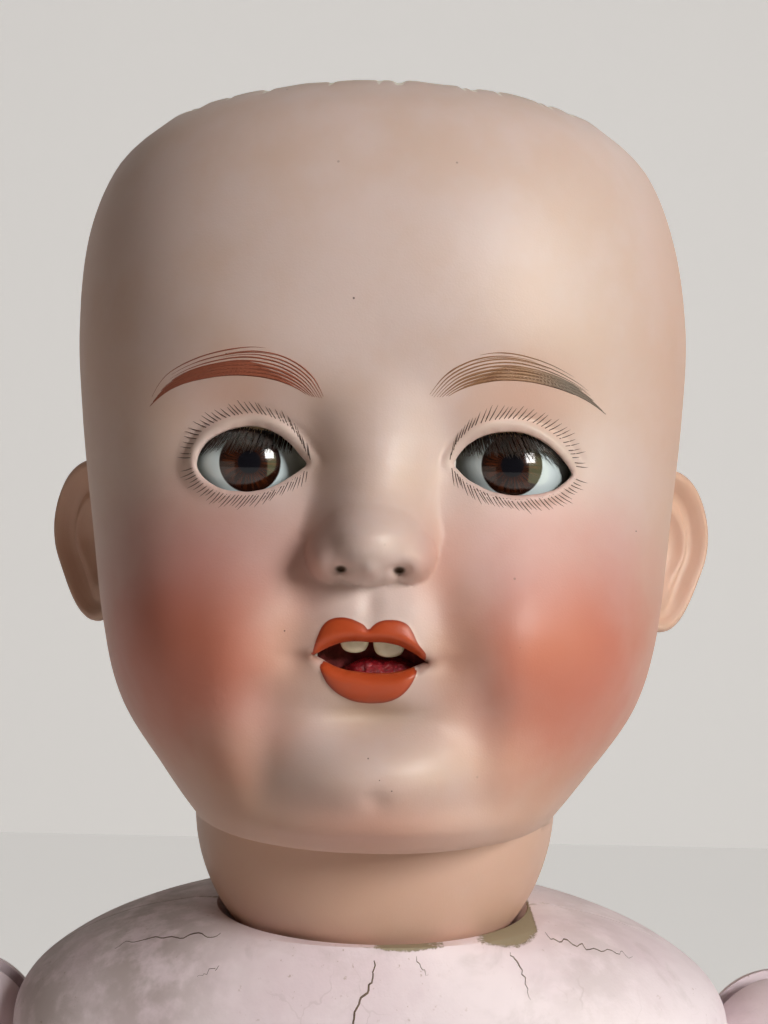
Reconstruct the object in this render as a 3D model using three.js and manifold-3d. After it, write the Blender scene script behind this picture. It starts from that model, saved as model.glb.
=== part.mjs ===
// A bisque-headed toddler doll on a strung, ball-jointed composition body, standing.
// Millimetres, +Z up, the face towards -Y, the origin on the floor below the middle of the doll.
// Left and right are the doll's own: left is +X. The right limbs are the left ones, mirrored.
import * as THREE from "three";
import { mergeVertices } from "three/addons/utils/BufferGeometryUtils.js";
import Module from "manifold-3d";

const wasm = await Module();
wasm.setup();

// Driving sizes. Every length is in millimetres and every angle in degrees.

// Clearances shared by all pieces.
const seat = 0.3; // between two pieces that are glued, set or strung against each other
const running = 0.4; // around a ball in its socket
const overrun = 6; // how far a cutting tool runs past what it cuts

// Bisque socket head. Heights are measured from the centre of the ball that ends its neck.
const head = {
  crownHeight: 150, // to the front of the cut crown
  halfWidth: 66.6,
  faceReach: 71.5, // neck axis to brow
  skullReach: 87.5, // neck axis to the back of the skull
  neckBall: 40,
  neckHole: 15,
  wall: 4,
  lidWall: 1.8, // bisque over the eyeball, thinner than the rest
};

// Sleep eyes and what carries them.
const eye = {
  radius: 12,
  spread: 24.9, // middle of the face to an eye's centre
  height: 74.5,
  forward: 49.5,
  halfOpening: 10.8, // half the length of the almond cut
  upperLid: 7.2, // the cut's rise over its corners
  lowerLid: 5.6,
  lidShell: 0.7, // wax lid on the glass
  lidFront: 58, // how far the lid comes forward over the glass, and how far back
  lidBack: 22,
  wire: 1.3, // radius of the wire between the eyes
  weightHeight: 36.1, // the middle of the weight on the head
  stemLean: 24, // the stem runs down and this much back
  stopSwing: 21, // the weight is clear of its stop after this much
  weightRadius: 8.5,
  weightLength: 15,
  pivotRadius: 1.7,
  pivotLength: 2.9, // glass stub that turns in the plaster
  plasterWidth: 12,
  corkHeight: 10,
  corkWidth: 14,
};

// Open mouth with two teeth and a tongue.
const mouth = {
  height: 39.4,
  halfOpening: 10.8,
  upperRise: 3.6,
  lowerRise: 3,
  innerFace: 67, // neck axis to the back of the lips
  pocketHalfWidth: 12,
  pocketHalfHeight: 9,
  toothWidth: 5.2,
  toothHeight: 6.2,
  toothThick: 2.2,
  toothGap: 0.7,
  toothShows: 2.9, // how much of a tooth shows below the upper lip
  plasterDepth: 6,
  tongueWidth: 15,
  tongueLength: 14,
  tongueThick: 6,
};

const ear = {
  height: 37,
  width: 19,
  thick: 8,
  centreHeight: 59,
  setBack: 8,
  sunk: 3.5, // how deep its back lies in the skull
  swing: 33, // how far its hollow is swung to the front
};

// What holds the head down in the body.
const fitting = {
  buttonTop: 24, // below the neck ball's centre
  wire: 1.4,
  eyeRadius: 3.6, // centreline of the ring that ends a hook
  eyeDrop: 49, // centre of the neck hook's ring below the neck ball's centre
  springRadius: 6,
  springWire: 0.9,
  springTurns: 5,
  springPitch: 3.4,
  nutRadius: 5.5,
  nutHeight: 3.5,
};

// Composition body, pressed in a front and a back half.
const torso = {
  halfWidth: 80,
  halfDepth: 54,
  wall: 6,
  cupWall: 4,
  cupLift: 5.5, // the neck cup is wider than the ball, its centre this much higher
  shoulderAboveHip: 171,
  neckAboveShoulder: 57,
  rimBelowNeck: 22,
  bottomBelowHip: 30,
  shoulderOut: 15, // the arm's joint lies this far outside the body's half width
  shoulderSet: 6,
  hipSpread: 39,
  hipSet: 1,
  neckHole: 9,
  cordHole: 5.5,
};

const elastic = { radius: 2.1, bore: 2.6 };

// Arm, from the shoulder's centre down.
const arm = {
  spread: 8, // how far the hanging arm stands off the body
  upperLength: 80,
  foreLength: 64,
  palmLength: 27,
  palmHalfWidth: 15,
  palmHalfThick: 7.5,
  fingerLength: 19,
  fingerRadius: 3.6,
  thumbRadius: 4,
  thumbLength: 17,
  shoulderBall: 19,
  elbowBall: 14,
  wristBall: 9.5,
  upperRadius: 17.5,
  foreRadius: 16,
  flex: 95,
  raise: 80,
  hookCavity: 6.5,
  upperRim: 7, // the upper arm ends this far above the elbow's centre
  foreRim: 6.5, // the forearm's cup starts this far below it
};

// Leg, from the hip's centre down.
const leg = {
  thighLength: 122,
  kneeHeight: 140,
  hipBall: 33,
  kneeBall: 20,
  shinRadius: 26,
  swing: 75,
  swingBack: 12,
  turn: 15,
  kneeFlex: 95,
  hookCavity: 7,
  hookRise: 8, // the hip hook's ring above the top of the ball
  thighRim: 9,
  shinRim: 8,
  toeReach: 56,
  heelReach: 24,
  footHalfWidth: 18.5,
  toeRadius: 5,
};

// Numbers of facets.
const facets = { limb: 12, ball: 14, small: 10, wire: 6, torso: 24, spring: 5 };

const radians = THREE.MathUtils.degToRad;

// Positions that follow from the sizes above.
const hipHeight = leg.thighLength + leg.kneeHeight;
const shoulderHeight = hipHeight + torso.shoulderAboveHip;
const neckHeight = shoulderHeight + torso.neckAboveShoulder;
const shoulderSpread = torso.halfWidth + torso.shoulderOut;
const torsoBottom = hipHeight - torso.bottomBelowHip;
const torsoHeight = neckHeight - torso.rimBelowNeck - torsoBottom;
const lidRadius = eye.radius + seat + eye.lidShell; // outside of the wax lid
const socketRadius = lidRadius + seat; // hollow of the bisque over the eye
const stemLength = (eye.height - eye.weightHeight) / Math.cos(radians(eye.stemLean));

// General tools for solids.

// A closed geometry as a manifold solid.
function solid(geometry) {
  const bare = geometry.index ? geometry.toNonIndexed() : geometry.clone();
  bare.deleteAttribute("normal");
  bare.deleteAttribute("uv");
  const merged = mergeVertices(bare, 1e-4);
  return new wasm.Manifold(
    new wasm.Mesh({
      numProp: 3,
      vertProperties: new Float32Array(merged.attributes.position.array),
      triVerts: new Uint32Array(merged.index.array),
    }),
  );
}

// A manifold solid as a three.js geometry with flat facets.
function geometryOf(manifold) {
  const made = manifold.getMesh();
  const indexed = new THREE.BufferGeometry();
  const positions = new Float32Array(made.numVert * 3);
  for (let i = 0; i < made.numVert; i++) {
    positions.set(made.vertProperties.subarray(i * made.numProp, i * made.numProp + 3), i * 3);
  }
  indexed.setAttribute("position", new THREE.BufferAttribute(positions, 3));
  indexed.setIndex(new THREE.BufferAttribute(made.triVerts, 1));
  const flat = indexed.toNonIndexed();
  flat.computeVertexNormals();
  return flat;
}

// Its corners lie on the sphere, so it never stands out of it.
function ball(radius, sides = facets.ball) {
  const sphere = new THREE.SphereGeometry(radius, sides, Math.round(sides * 0.6));
  return solid(sphere.rotateX(Math.PI / 2));
}

// A hollow for a ball: the middle of each facet lies on the sphere, over a corner of the ball.
function socket(radius, sides = facets.ball) {
  const rings = Math.round(sides * 0.6);
  const half = Math.PI / (2 * rings);
  const profile = steps(0, rings - 1, rings - 1).map((k) => {
    const a = (2 * k + 1) * half;
    const r = radius / Math.cos(half);
    return new THREE.Vector2((r * Math.sin(a)) / Math.cos(Math.PI / sides), -r * Math.cos(a));
  });
  const closed = [new THREE.Vector2(0, -radius), ...profile, new THREE.Vector2(0, radius)];
  const turned = new THREE.LatheGeometry(closed, sides, Math.PI / 2 + Math.PI / sides);
  return solid(turned.rotateX(Math.PI / 2));
}

// A round rod along Z between two heights.
function rod(radius, low, high, sides = facets.small) {
  const cylinder = new THREE.CylinderGeometry(radius, radius, high - low, sides);
  return solid(cylinder.rotateX(Math.PI / 2).translate(0, 0, (low + high) / 2));
}

// A box given by its full sizes and its middle.
function block(width, depth, height, x = 0, y = 0, z = 0) {
  return solid(new THREE.BoxGeometry(width, depth, height).translate(x, y, z));
}

function union(solids) {
  return solids.reduce((sum, next) => sum.add(next));
}

// A polygon with corners on a circle.
function circle(radius, sides) {
  const outline = new THREE.Shape();
  for (let i = 0; i < sides; i++) {
    const a = (2 * Math.PI * i) / sides;
    if (i) outline.lineTo(radius * Math.cos(a), radius * Math.sin(a));
    else outline.moveTo(radius, 0);
  }
  return outline;
}

// A round wire or cord of even thickness along a curve.
function wire(path, radius, steps, sides = facets.wire) {
  return solid(
    new THREE.ExtrudeGeometry(circle(radius, sides), { steps, extrudePath: path, bevelEnabled: false }),
  );
}

// A ring of round wire in the plane across X.
function ring(radius, thickness) {
  const torus = new THREE.TorusGeometry(radius, thickness, facets.spring, facets.small);
  return solid(torus.rotateY(Math.PI / 2));
}

// Closes a stack of rings, each with as many points as the next, into one solid.
// The first ring has the lower cap, and rings run anticlockwise seen from the last one.
function stack(rings) {
  const count = rings[0].length;
  const positions = rings.flat().flatMap((p) => [p.x, p.y, p.z]);
  const index = [];
  for (let r = 0; r + 1 < rings.length; r++) {
    for (let i = 0; i < count; i++) {
      const a = r * count + i;
      const b = r * count + ((i + 1) % count);
      index.push(a, b, b + count, a, b + count, a + count);
    }
  }
  for (const r of [0, rings.length - 1]) {
    const middle = new THREE.Vector3();
    rings[r].forEach((p) => middle.addScaledVector(p, 1 / count));
    const m = positions.length / 3;
    positions.push(middle.x, middle.y, middle.z);
    for (let i = 0; i < count; i++) {
      const [a, b] = [r * count + i, r * count + ((i + 1) % count)];
      if (r) index.push(a, b, m);
      else index.push(b, a, m);
    }
  }
  const geometry = new THREE.BufferGeometry();
  geometry.setAttribute("position", new THREE.Float32BufferAttribute(positions, 3));
  geometry.setIndex(index);
  return solid(geometry);
}

// A smooth value between the rows of a table, by a cubic through neighbouring rows.
function between(rows, t) {
  const last = rows.length - 1;
  const i = Math.min(Math.floor(t), last - 1);
  const f = t - i;
  const row = (k) => rows[Math.max(0, Math.min(last, k))];
  return rows[0].map((_, column) => {
    const [a, b, c, d] = [row(i - 1), row(i), row(i + 1), row(i + 2)].map((r) => r[column]);
    const cubic = (3 * b - a - 3 * c + d) * f * f * f;
    return 0.5 * (2 * b + (c - a) * f + (2 * a - 5 * b + 4 * c - d) * f * f + cubic);
  });
}

function steps(from, to, count) {
  return Array.from({ length: count + 1 }, (_, i) => from + ((to - from) * i) / count);
}

// Points round a section, given its half width and its reach to the front and to the back.
function section(width, front, back, z, x = 0, y = 0, sides = facets.limb, power = 2) {
  return steps(0, 2 * Math.PI, sides).slice(0, -1).map((a) => {
    const bend = (v) => Math.sign(v) * Math.abs(v) ** (2 / power);
    const [c, s] = [bend(Math.cos(a)), bend(Math.sin(a))];
    return new THREE.Vector3(x + width * c, y + (s < 0 ? front : back) * s, z);
  });
}

// A stack of sections from rows that are read off between the rows of a table.
function loft(rows, count, toSection) {
  return stack(steps(0, rows.length - 1, count).map((t) => toSection(...between(rows, t))));
}

// The space that a round limb takes as it turns about X to several angles, and about Z.
function swept(radius, start, reach, poses) {
  const shaft = rod(radius / Math.cos(Math.PI / facets.limb), -reach, -start, facets.limb);
  return union(poses.map(([bend, turn]) => shaft.rotate([bend, 0, 0]).rotate([0, 0, turn])));
}

// A sector of a disc across X, from one angle to another, measured from up towards the back.
function wedge(radius, from, to, width) {
  const shape = new THREE.Shape().moveTo(0, 0);
  for (const a of steps(radians(from), radians(to), 6)) {
    shape.lineTo(radius * Math.sin(a), radius * Math.cos(a));
  }
  const plate = new THREE.ExtrudeGeometry(shape, { depth: width, bevelEnabled: false });
  const [across, back, up] = [1, 2, 3].map(() => new THREE.Vector3());
  across.setX(1);
  back.setY(1);
  up.setZ(1);
  return solid(plate.applyMatrix4(new THREE.Matrix4().makeBasis(back, up, across)).translate(-width / 2, 0, 0));
}

// Materials.
const material = (color, roughness, metalness = 0) =>
  new THREE.MeshStandardMaterial({ color, roughness, metalness });
const bisque = material(0xdcb7a0, 0.55);
const glass = material(0x3a2014, 0.05);
const wax = material(0xd9c3a6, 0.45);
const enamel = material(0xdcdcc0, 0.2);
const felt = material(0x8a1c22, 0.85);
const plaster = material(0xe9e4d8, 0.95);
const cork = material(0xa97c50, 0.95);
const steel = material(0x8d8a85, 0.4, 1);
const lead = material(0x5c6066, 0.6, 1);
const wood = material(0xc9a27a, 0.7);
const composition = material(0xd9c4bd, 0.75);
const cord = material(0xe6e0d2, 0.9);

function mesh(name, manifold, finish) {
  const made = new THREE.Mesh(geometryOf(manifold), finish);
  made.name = name;
  return made;
}

// The bisque head.

// Meridians from the crown cut to the neck: shares of crownHeight and of the reach.
const frontShares = [
  [0.995, 0.7], [0.947, 0.84], [0.847, 0.95], [0.72, 1], [0.587, 0.972], [0.453, 0.944],
  [0.293, 0.958], [0.18, 0.93], [0.087, 0.923], [0.017, 0.825], [0.017, 0.58],
];
const sideShares = [
  [0.965, 0.775], [0.907, 0.892], [0.813, 0.966], [0.693, 0.994], [0.573, 0.984], [0.44, 0.954],
  [0.28, 0.905], [0.173, 0.84], [0.083, 0.705], [0.023, 0.605], [-0.007, 0.6],
];
const backShares = [
  [0.9, 0.7], [0.84, 0.81], [0.75, 0.9], [0.65, 0.945], [0.53, 0.96], [0.4, 0.9],
  [0.28, 0.77], [0.18, 0.64], [0.093, 0.55], [0.033, 0.505], [0, 0.49],
];
const skullShare = 0.84; // of the way down a meridian where the neck's ball begins
const closeShare = 0.9; // the outside closes a little inside the neck hole
const squareness = 2.3;

// Modelled features of the face: place across and up, relief, half width, half height above
// and below. Those across are shares of halfWidth, relief of faceReach, the rest of crownHeight.
const featureShares = {
  noseRidge: [0, 0.453, 0.07, 0.09, 0.093, 0.08],
  noseTip: [0, 0.39, 0.17, 0.11, 0.05, 0.036],
  chinBall: [0, 0.093, 0.055, 0.2, 0.06, 0.055],
  chinCrease: [0, 0.172, -0.04, 0.2, 0.025, 0.025],
  muzzle: [0, 0.28, 0.035, 0.24, 0.075, 0.07],
  lowerLip: [0, 0.222, 0.035, 0.13, 0.025, 0.025],
};
const pairedShares = {
  nostrilWing: [0.125, 0.363, 0.075, 0.06, 0.03, 0.024],
  eyeSocket: [0.375, 0.527, -0.06, 0.2, 0.065, 0.07],
  innerCorner: [0.2, 0.5, -0.04, 0.09, 0.06, 0.06],
  upperLipLobe: [0.075, 0.288, 0.028, 0.09, 0.022, 0.022],
  mouthCorner: [0.2, 0.26, -0.025, 0.06, 0.03, 0.03],
  cheek: [0.56, 0.25, 0.1, 0.3, 0.15, 0.13],
  cheekFold: [0.27, 0.29, -0.02, 0.07, 0.06, 0.06],
};

function bump([across, up, relief, wide, above, below], x, z) {
  const dx = (x / head.halfWidth - across) / wide;
  const rise = z / head.crownHeight - up;
  const dz = rise / (rise > 0 ? above : below);
  return relief * head.faceReach * Math.exp(-dx * dx - dz * dz);
}

// How far the features push the face forward at a place on it.
function relief(x, z) {
  const middle = Object.values(featureShares).map((shares) => bump(shares, x, z));
  const paired = Object.values(pairedShares).map((shares) => bump(shares, Math.abs(x), z));
  return [...middle, ...paired].reduce((sum, next) => sum + next);
}

// A point of the bare skull and neck: azimuth 0 is the front, share 0 the crown, 1 the neck hole.
function skullPoint(azimuth, share) {
  const t = Math.min(share / skullShare, 1) * (frontShares.length - 1);
  const [frontRow, sideRow, backRow] = [frontShares, sideShares, backShares].map((s) => between(s, t));
  const [c, s] = [Math.cos(azimuth), Math.sin(azimuth)];
  const fore = c >= 0 ? frontRow : backRow;
  const foreReach = fore[1] * (c >= 0 ? head.faceReach : head.skullReach);
  const sideReach = sideRow[1] * head.halfWidth;
  const inverse = Math.abs(c / foreReach) ** squareness + Math.abs(s / sideReach) ** squareness;
  let r = inverse ** (-1 / squareness);
  let z = head.crownHeight * (fore[0] * c * c + sideRow[0] * s * s);
  if (share > skullShare) {
    const u = (share - skullShare) / (1 - skullShare);
    const top = Math.asin(z / head.neckBall);
    const a = top - u * (Math.acos((closeShare * head.neckHole) / head.neckBall) + top);
    r = head.neckBall * Math.cos(a) + (r - head.neckBall * Math.cos(top)) * (1 - u) ** 4;
    z = head.neckBall * Math.sin(a);
  }
  return new THREE.Vector3(r * s, -r * c, z);
}

// The bisque over an eyeball is part of a ball that stands out of the eye socket.
function lidReach(x, z) {
  const dx = Math.abs(x) - eye.spread;
  const dz = z - eye.height;
  const left = (socketRadius + head.lidWall) ** 2 - dx * dx - dz * dz;
  return left > 0 ? eye.forward + Math.sqrt(left) : 0;
}

// The outer surface with its face.
function headPoint(azimuth, share) {
  const p = skullPoint(azimuth, share);
  const faceward = Math.cos(azimuth);
  if (faceward > 0 && share < skullShare) {
    p.y -= relief(p.x, p.z) * Math.min(1, faceward * 2);
    p.y = -Math.max(-p.y, lidReach(p.x, p.z));
  }
  return p;
}

// An inner surface: the bare skull, drawn in by the same depth all round.
function hollowPoint(azimuth, share, depth) {
  const p = skullPoint(azimuth, share);
  const ahead = skullPoint(azimuth, Math.min(share + 0.01, 1));
  const behind = skullPoint(azimuth, Math.max(share - 0.01, 0));
  const along = ahead.clone().sub(behind).normalize();
  const round = new THREE.Vector3(Math.cos(azimuth), Math.sin(azimuth), 0);
  const inward = round.cross(along).normalize();
  if (inward.x * p.x + inward.y * p.y > 0) inward.negate();
  return p.addScaledVector(inward, depth);
}

// Azimuths close together over the nose and mouth and wide apart at the back.
const mouthEdge = 20;
const faceEdge = 60;

function headAzimuths(fine, middle, coarse) {
  const half = [
    ...steps(0, mouthEdge, fine).slice(0, -1),
    ...steps(mouthEdge, faceEdge, middle).slice(0, -1),
    ...steps(faceEdge, 180, coarse),
  ];
  return [...half, ...half.slice(1, -1).map((a) => -a).reverse()].map(radians);
}

// Shares down a meridian, close together over the face.
function headShares(crown, face, neck) {
  return [
    ...steps(0, 0.32, crown).slice(0, -1),
    ...steps(0.32, 0.76, face).slice(0, -1),
    ...steps(0.76, 1, neck),
  ];
}

// What the head holds in it, drawn in from the outside by a depth. It runs on past the crown cut.
function headHollow(depth) {
  const azimuths = headAzimuths(2, 2, 5);
  const rings = headShares(3, 5, 4).map((v) => azimuths.map((a) => hollowPoint(a, v, depth)));
  const above = rings[0].map((p) => new THREE.Vector3(p.x, p.y, p.z + overrun));
  return stack([above, ...rings].reverse());
}

// An almond with rounded lids through two corners, cut straight back from the front.
function almond(halfLength, upper, lower, nearest, farthest) {
  const arc = (rise, from, to) => {
    const bulge = (halfLength * halfLength + rise * rise) / (2 * rise);
    return steps(from, to, 10).map((t) => {
      const x = halfLength * t;
      return [x, Math.sign(to - from) * (Math.sqrt(bulge * bulge - x * x) - (bulge - rise))];
    });
  };
  // the lower lid from the left corner to the right one, and back over the upper lid
  const outline = [...arc(lower, -1, 1), ...arc(upper, 1, -1)].map(([x, z], i) => [x, i < 11 ? -Math.abs(z) : Math.abs(z)]);
  const shape = new THREE.Shape();
  outline.forEach(([x, z], i) => {
    if (i === 0) shape.moveTo(x, z);
    else if (i !== 11 && i !== 21) shape.lineTo(x, z);
  });
  const plate = new THREE.ExtrudeGeometry(shape, { depth: farthest - nearest, bevelEnabled: false });
  return solid(plate.rotateX(Math.PI / 2).translate(0, -nearest, 0));
}

// An ear: a dished disc with a rolled rim and a lobe.
const earRingShares = [[0.45, 0], [0.9, 0.45], [1, 0.78], [0.9, 1], [0.74, 0.85], [0.5, 0.4], [0.2, 0.36]];
const lobeShare = 0.3; // how much narrower it is at the lobe

function makeEar() {
  const rings = earRingShares.map(([size, proud]) =>
    steps(0, 2 * Math.PI, 16).slice(0, -1).map((a) => {
      const narrow = 1 - lobeShare * Math.max(0, -Math.sin(a)) ** 2;
      const x = 0.5 * ear.width * narrow * size * Math.cos(a);
      const y = 0.5 * ear.height * size * Math.sin(a);
      return new THREE.Vector3(x, y, proud * ear.thick);
    }),
  );
  // its length stands upright and its hollow faces out and to the front
  return stack(rings)
    .rotate([90, 0, 0])
    .rotate([0, 0, 90 - ear.swing])
    .translate([sideShares[5][1] * head.halfWidth - ear.sunk, ear.setBack, ear.centreHeight]);
}

// The pocket behind the lips, drawn in from its walls by a gap.
function mouthPocket(gap) {
  const front = mouth.innerFace - gap;
  const depth = mouth.innerFace - 0.5 * head.faceReach;
  const width = 2 * (mouth.pocketHalfWidth - gap);
  const height = 2 * (mouth.pocketHalfHeight - gap);
  return block(width, depth, height, 0, -front + depth / 2, mouth.height);
}

function makeHeadShell() {
  const azimuths = headAzimuths(6, 7, 7);
  const outer = stack(headShares(4, 20, 7).map((v) => azimuths.map((a) => headPoint(a, v))).reverse());
  const earLeft = makeEar();
  const cuts = [
    headHollow(head.wall),
    rod(head.neckHole, -head.neckBall - overrun, 0, facets.torso),
    socket(head.neckBall - head.wall, facets.torso),
    mouthPocket(0),
  ];
  for (const side of [-1, 1]) {
    const nearest = eye.forward;
    const farthest = head.faceReach + overrun;
    const opening = almond(eye.halfOpening, eye.upperLid, eye.lowerLid, nearest, farthest);
    cuts.push(opening.translate([side * eye.spread, 0, eye.height]));
    cuts.push(socket(socketRadius).translate([side * eye.spread, -eye.forward, eye.height]));
  }
  const farthest = mouth.innerFace + 4 * overrun;
  const lips = almond(mouth.halfOpening, mouth.upperRise, mouth.lowerRise, head.faceReach / 2, farthest);
  cuts.push(lips.translate([0, 0, mouth.height]));
  return outer.add(earLeft).add(earLeft.mirror([1, 0, 0])).subtract(union(cuts));
}

// A tooth hangs from the plaster behind the upper lip, rounded at its biting edge.
const toothBottom = mouth.height + mouth.upperRise - mouth.toothShows;

function makeTooth(side) {
  const half = mouth.toothWidth / 2;
  const shape = new THREE.Shape().moveTo(-half, mouth.toothHeight).lineTo(-half, half / 2);
  shape.absellipse(0, half / 2, half, half / 2, Math.PI, 2 * Math.PI, false);
  shape.lineTo(half, mouth.toothHeight);
  const depth = mouth.toothThick;
  const plate = new THREE.ExtrudeGeometry(shape, { depth, bevelEnabled: false, curveSegments: 8 });
  const x = side * (half + mouth.toothGap / 2);
  return solid(plate.rotateX(Math.PI / 2).translate(x, -mouth.innerFace + depth + seat, toothBottom));
}

// What fills a gap from the head's wall inward, seated on the wall.
function seatedInHead(filling) {
  return filling.intersect(headHollow(head.wall + seat).add(mouthPocket(seat)));
}

function makeTeethPlaster() {
  const front = mouth.innerFace - mouth.toothThick - 2 * seat;
  const width = 2 * mouth.pocketHalfWidth - 4 * mouth.toothGap;
  const low = mouth.height + mouth.upperRise;
  const high = mouth.height + 1.3 * mouth.pocketHalfHeight;
  const middle = -front + mouth.plasterDepth / 2;
  return seatedInHead(block(width, mouth.plasterDepth, high - low, 0, middle, (low + high) / 2));
}

const tongueShares = [[0, 0.5], [0.12, 0.8], [0.4, 1], [0.8, 0.85], [1, 0.6]];

function makeTongue() {
  const flat = loft(tongueShares, 7, (along, wide) => {
    const half = (wide * mouth.tongueThick) / 2;
    const width = (wide * mouth.tongueWidth) / 2;
    return section(width, half, half, along * mouth.tongueLength, 0, 0, facets.small);
  });
  // its tip lies behind the lower lip and its root on the floor of the pocket
  const floor = mouth.height - mouth.pocketHalfHeight + mouth.tongueThick / 2 + seat;
  return flat.rotate([-90, 0, 0]).translate([0, -mouth.innerFace + 2 * seat, floor]);
}

// Sleep eyes, on a wire with a pendulum, at their own centre line.

function makeEyeball() {
  const stub = rod(eye.pivotRadius, 0, eye.radius + eye.pivotLength).rotate([0, 90, 0]);
  return ball(eye.radius).add(stub);
}

// The wax lid covers the glass from above the iris to the back.
function makeEyelid() {
  const shell = ball(lidRadius).subtract(socket(eye.radius + seat / 2));
  return shell.intersect(wedge(2 * lidRadius, -eye.lidFront, eye.lidBack, 1.7 * eye.radius));
}

function makeRocker() {
  const half = eye.spread - eye.radius - seat;
  const bar = rod(eye.wire, -half, half, facets.wire).rotate([0, 90, 0]);
  const stem = rod(eye.wire, seat - stemLength + eye.weightLength / 2, 0, facets.wire);
  return bar.add(stem.rotate([eye.stemLean, 0, 0]));
}

function makeEyeWeight(gap) {
  const low = -stemLength - eye.weightLength / 2 - gap;
  const high = -stemLength + eye.weightLength / 2 + gap;
  return rod(eye.weightRadius + gap, low, high).rotate([eye.stemLean, 0, 0]);
}

// The weight rests on this stop when the eyes are open.
function makeCorkStop() {
  // cut clear of the weight as it swings off the stop
  const swings = steps(0, eye.stopSwing, 7).map((a) => makeEyeWeight(seat).rotate([a, 0, 0]));
  const weight = union(swings).translate([0, -eye.forward, eye.height]);
  const lean = radians(eye.stemLean);
  const low = eye.height - (stemLength + eye.weightLength / 2) * Math.cos(lean);
  const back = eye.forward - (stemLength + eye.weightLength / 2) * Math.sin(lean);
  const depth = head.faceReach - back;
  const stop = block(eye.corkWidth, depth, eye.corkHeight, 0, -back - depth / 2, low - eye.corkHeight / 2);
  return seatedInHead(stop).subtract(weight);
}

function makeEyePlaster() {
  const inner = eye.spread + eye.radius + running;
  const outer = head.halfWidth;
  const w = eye.plasterWidth;
  const lump = block(outer - inner, w, w, (inner + outer) / 2, -eye.forward, eye.height);
  const bore = rod(eye.pivotRadius + seat, eye.spread, outer).rotate([0, 90, 0]);
  return seatedInHead(lump).subtract(bore.translate([0, -eye.forward, eye.height]));
}

// Both copies of a left piece, the second one mirrored.
function pair(name, make, finish) {
  const left = make;
  return [mesh(`${name}_left`, left, finish), mesh(`${name}_right`, left.mirror([1, 0, 0]), finish)];
}

function makeHead() {
  const group = new THREE.Group();
  group.position.z = neckHeight;
  group.add(mesh("bisque_head", makeHeadShell(), bisque));
  group.add(mesh("upper_tooth_left", makeTooth(1), enamel));
  group.add(mesh("upper_tooth_right", makeTooth(-1), enamel));
  group.add(mesh("teeth_plaster", makeTeethPlaster(), plaster));
  group.add(mesh("tongue", makeTongue(), felt));
  group.add(mesh("cork_stop", makeCorkStop(), cork));
  group.add(...pair("eye_plaster", makeEyePlaster(), plaster));
  const eyes = new THREE.Group();
  eyes.position.set(0, -eye.forward, eye.height);
  eyes.add(...pair("eyeball", makeEyeball().translate([eye.spread, 0, 0]), glass));
  eyes.add(...pair("eyelid", makeEyelid().translate([eye.spread, 0, 0]), wax));
  eyes.add(mesh("eye_rocker", makeRocker(), steel));
  eyes.add(mesh("eye_weight", makeEyeWeight(0), lead));
  group.add(eyes);
  return group;
}

// The fitting that holds the head down: a wooden button, a spring over it, and a hook.

function makeButton() {
  const radius = head.neckBall - head.wall - seat;
  const above = block(3 * radius, 3 * radius, 2 * radius, 0, 0, radius - fitting.buttonTop);
  return ball(radius, facets.torso).subtract(above).subtract(hookShank(seat));
}

// The hook's straight part, from its nut down to its ring.
const springHeight = fitting.springTurns * fitting.springPitch;
const nutBottom = -fitting.buttonTop + seat + springHeight + fitting.springWire * 2 + seat;

function hookShank(gap) {
  const low = -fitting.eyeDrop + fitting.eyeRadius;
  const high = nutBottom + fitting.nutHeight + fitting.wire;
  return rod(fitting.wire + gap, low - gap, high + gap, facets.wire);
}

function makeNeckHook() {
  return hookShank(0).add(ring(fitting.eyeRadius, fitting.wire).translate([0, 0, -fitting.eyeDrop]));
}

class Helix extends THREE.Curve {
  getPoint(t, target = new THREE.Vector3()) {
    const a = 2 * Math.PI * fitting.springTurns * t;
    return target.set(
      fitting.springRadius * Math.cos(a),
      fitting.springRadius * Math.sin(a),
      springHeight * t,
    );
  }
}

function makeNeckSpring() {
  const coil = wire(new Helix(), fitting.springWire, 8 * fitting.springTurns, facets.spring);
  return coil.translate([0, 0, -fitting.buttonTop + seat + fitting.springWire]);
}

function makeNeckNut() {
  const radius = fitting.springRadius + fitting.springWire;
  const washer = rod(radius, nutBottom, nutBottom + fitting.nutHeight / 3);
  const nut = rod(fitting.nutRadius, nutBottom, nutBottom + fitting.nutHeight, 6);
  return washer.add(nut).subtract(hookShank(seat / 2));
}

function makeFitting() {
  const group = new THREE.Group();
  group.position.z = neckHeight;
  group.add(mesh("neck_button", makeButton(), wood));
  group.add(mesh("neck_hook", makeNeckHook(), steel));
  group.add(mesh("neck_spring", makeNeckSpring(), steel));
  group.add(mesh("neck_nut", makeNeckNut(), steel));
  return group;
}

// The body. Shares from the crotch to the neck rim: height, half width, front, back.
const torsoShares = [
  [0, 0.3, 0.36, 0.38], [0.05, 0.62, 0.52, 0.66], [0.14, 0.9, 0.66, 0.96], [0.28, 0.965, 0.87, 1],
  [0.42, 0.93, 1, 0.88], [0.56, 0.885, 0.99, 0.8], [0.7, 0.9, 0.93, 0.86], [0.82, 0.965, 0.88, 0.93],
  [0.885, 1, 0.85, 0.9], [0.93, 0.96, 0.82, 0.84], [0.965, 0.83, 0.76, 0.77], [0.988, 0.67, 0.71, 0.71],
  [1, 0.5, 0.69, 0.69],
];

// The body's surface, or one drawn in from it by a depth.
function torsoForm(depth, count) {
  const height = torsoHeight - 2 * depth;
  return loft(torsoShares, count, (up, width, front, back) =>
    section(
      width * torso.halfWidth - depth,
      front * torso.halfDepth - depth,
      back * torso.halfDepth - depth,
      torsoBottom + depth + up * height,
      0, 0, facets.torso, 2.2,
    ),
  );
}

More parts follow.
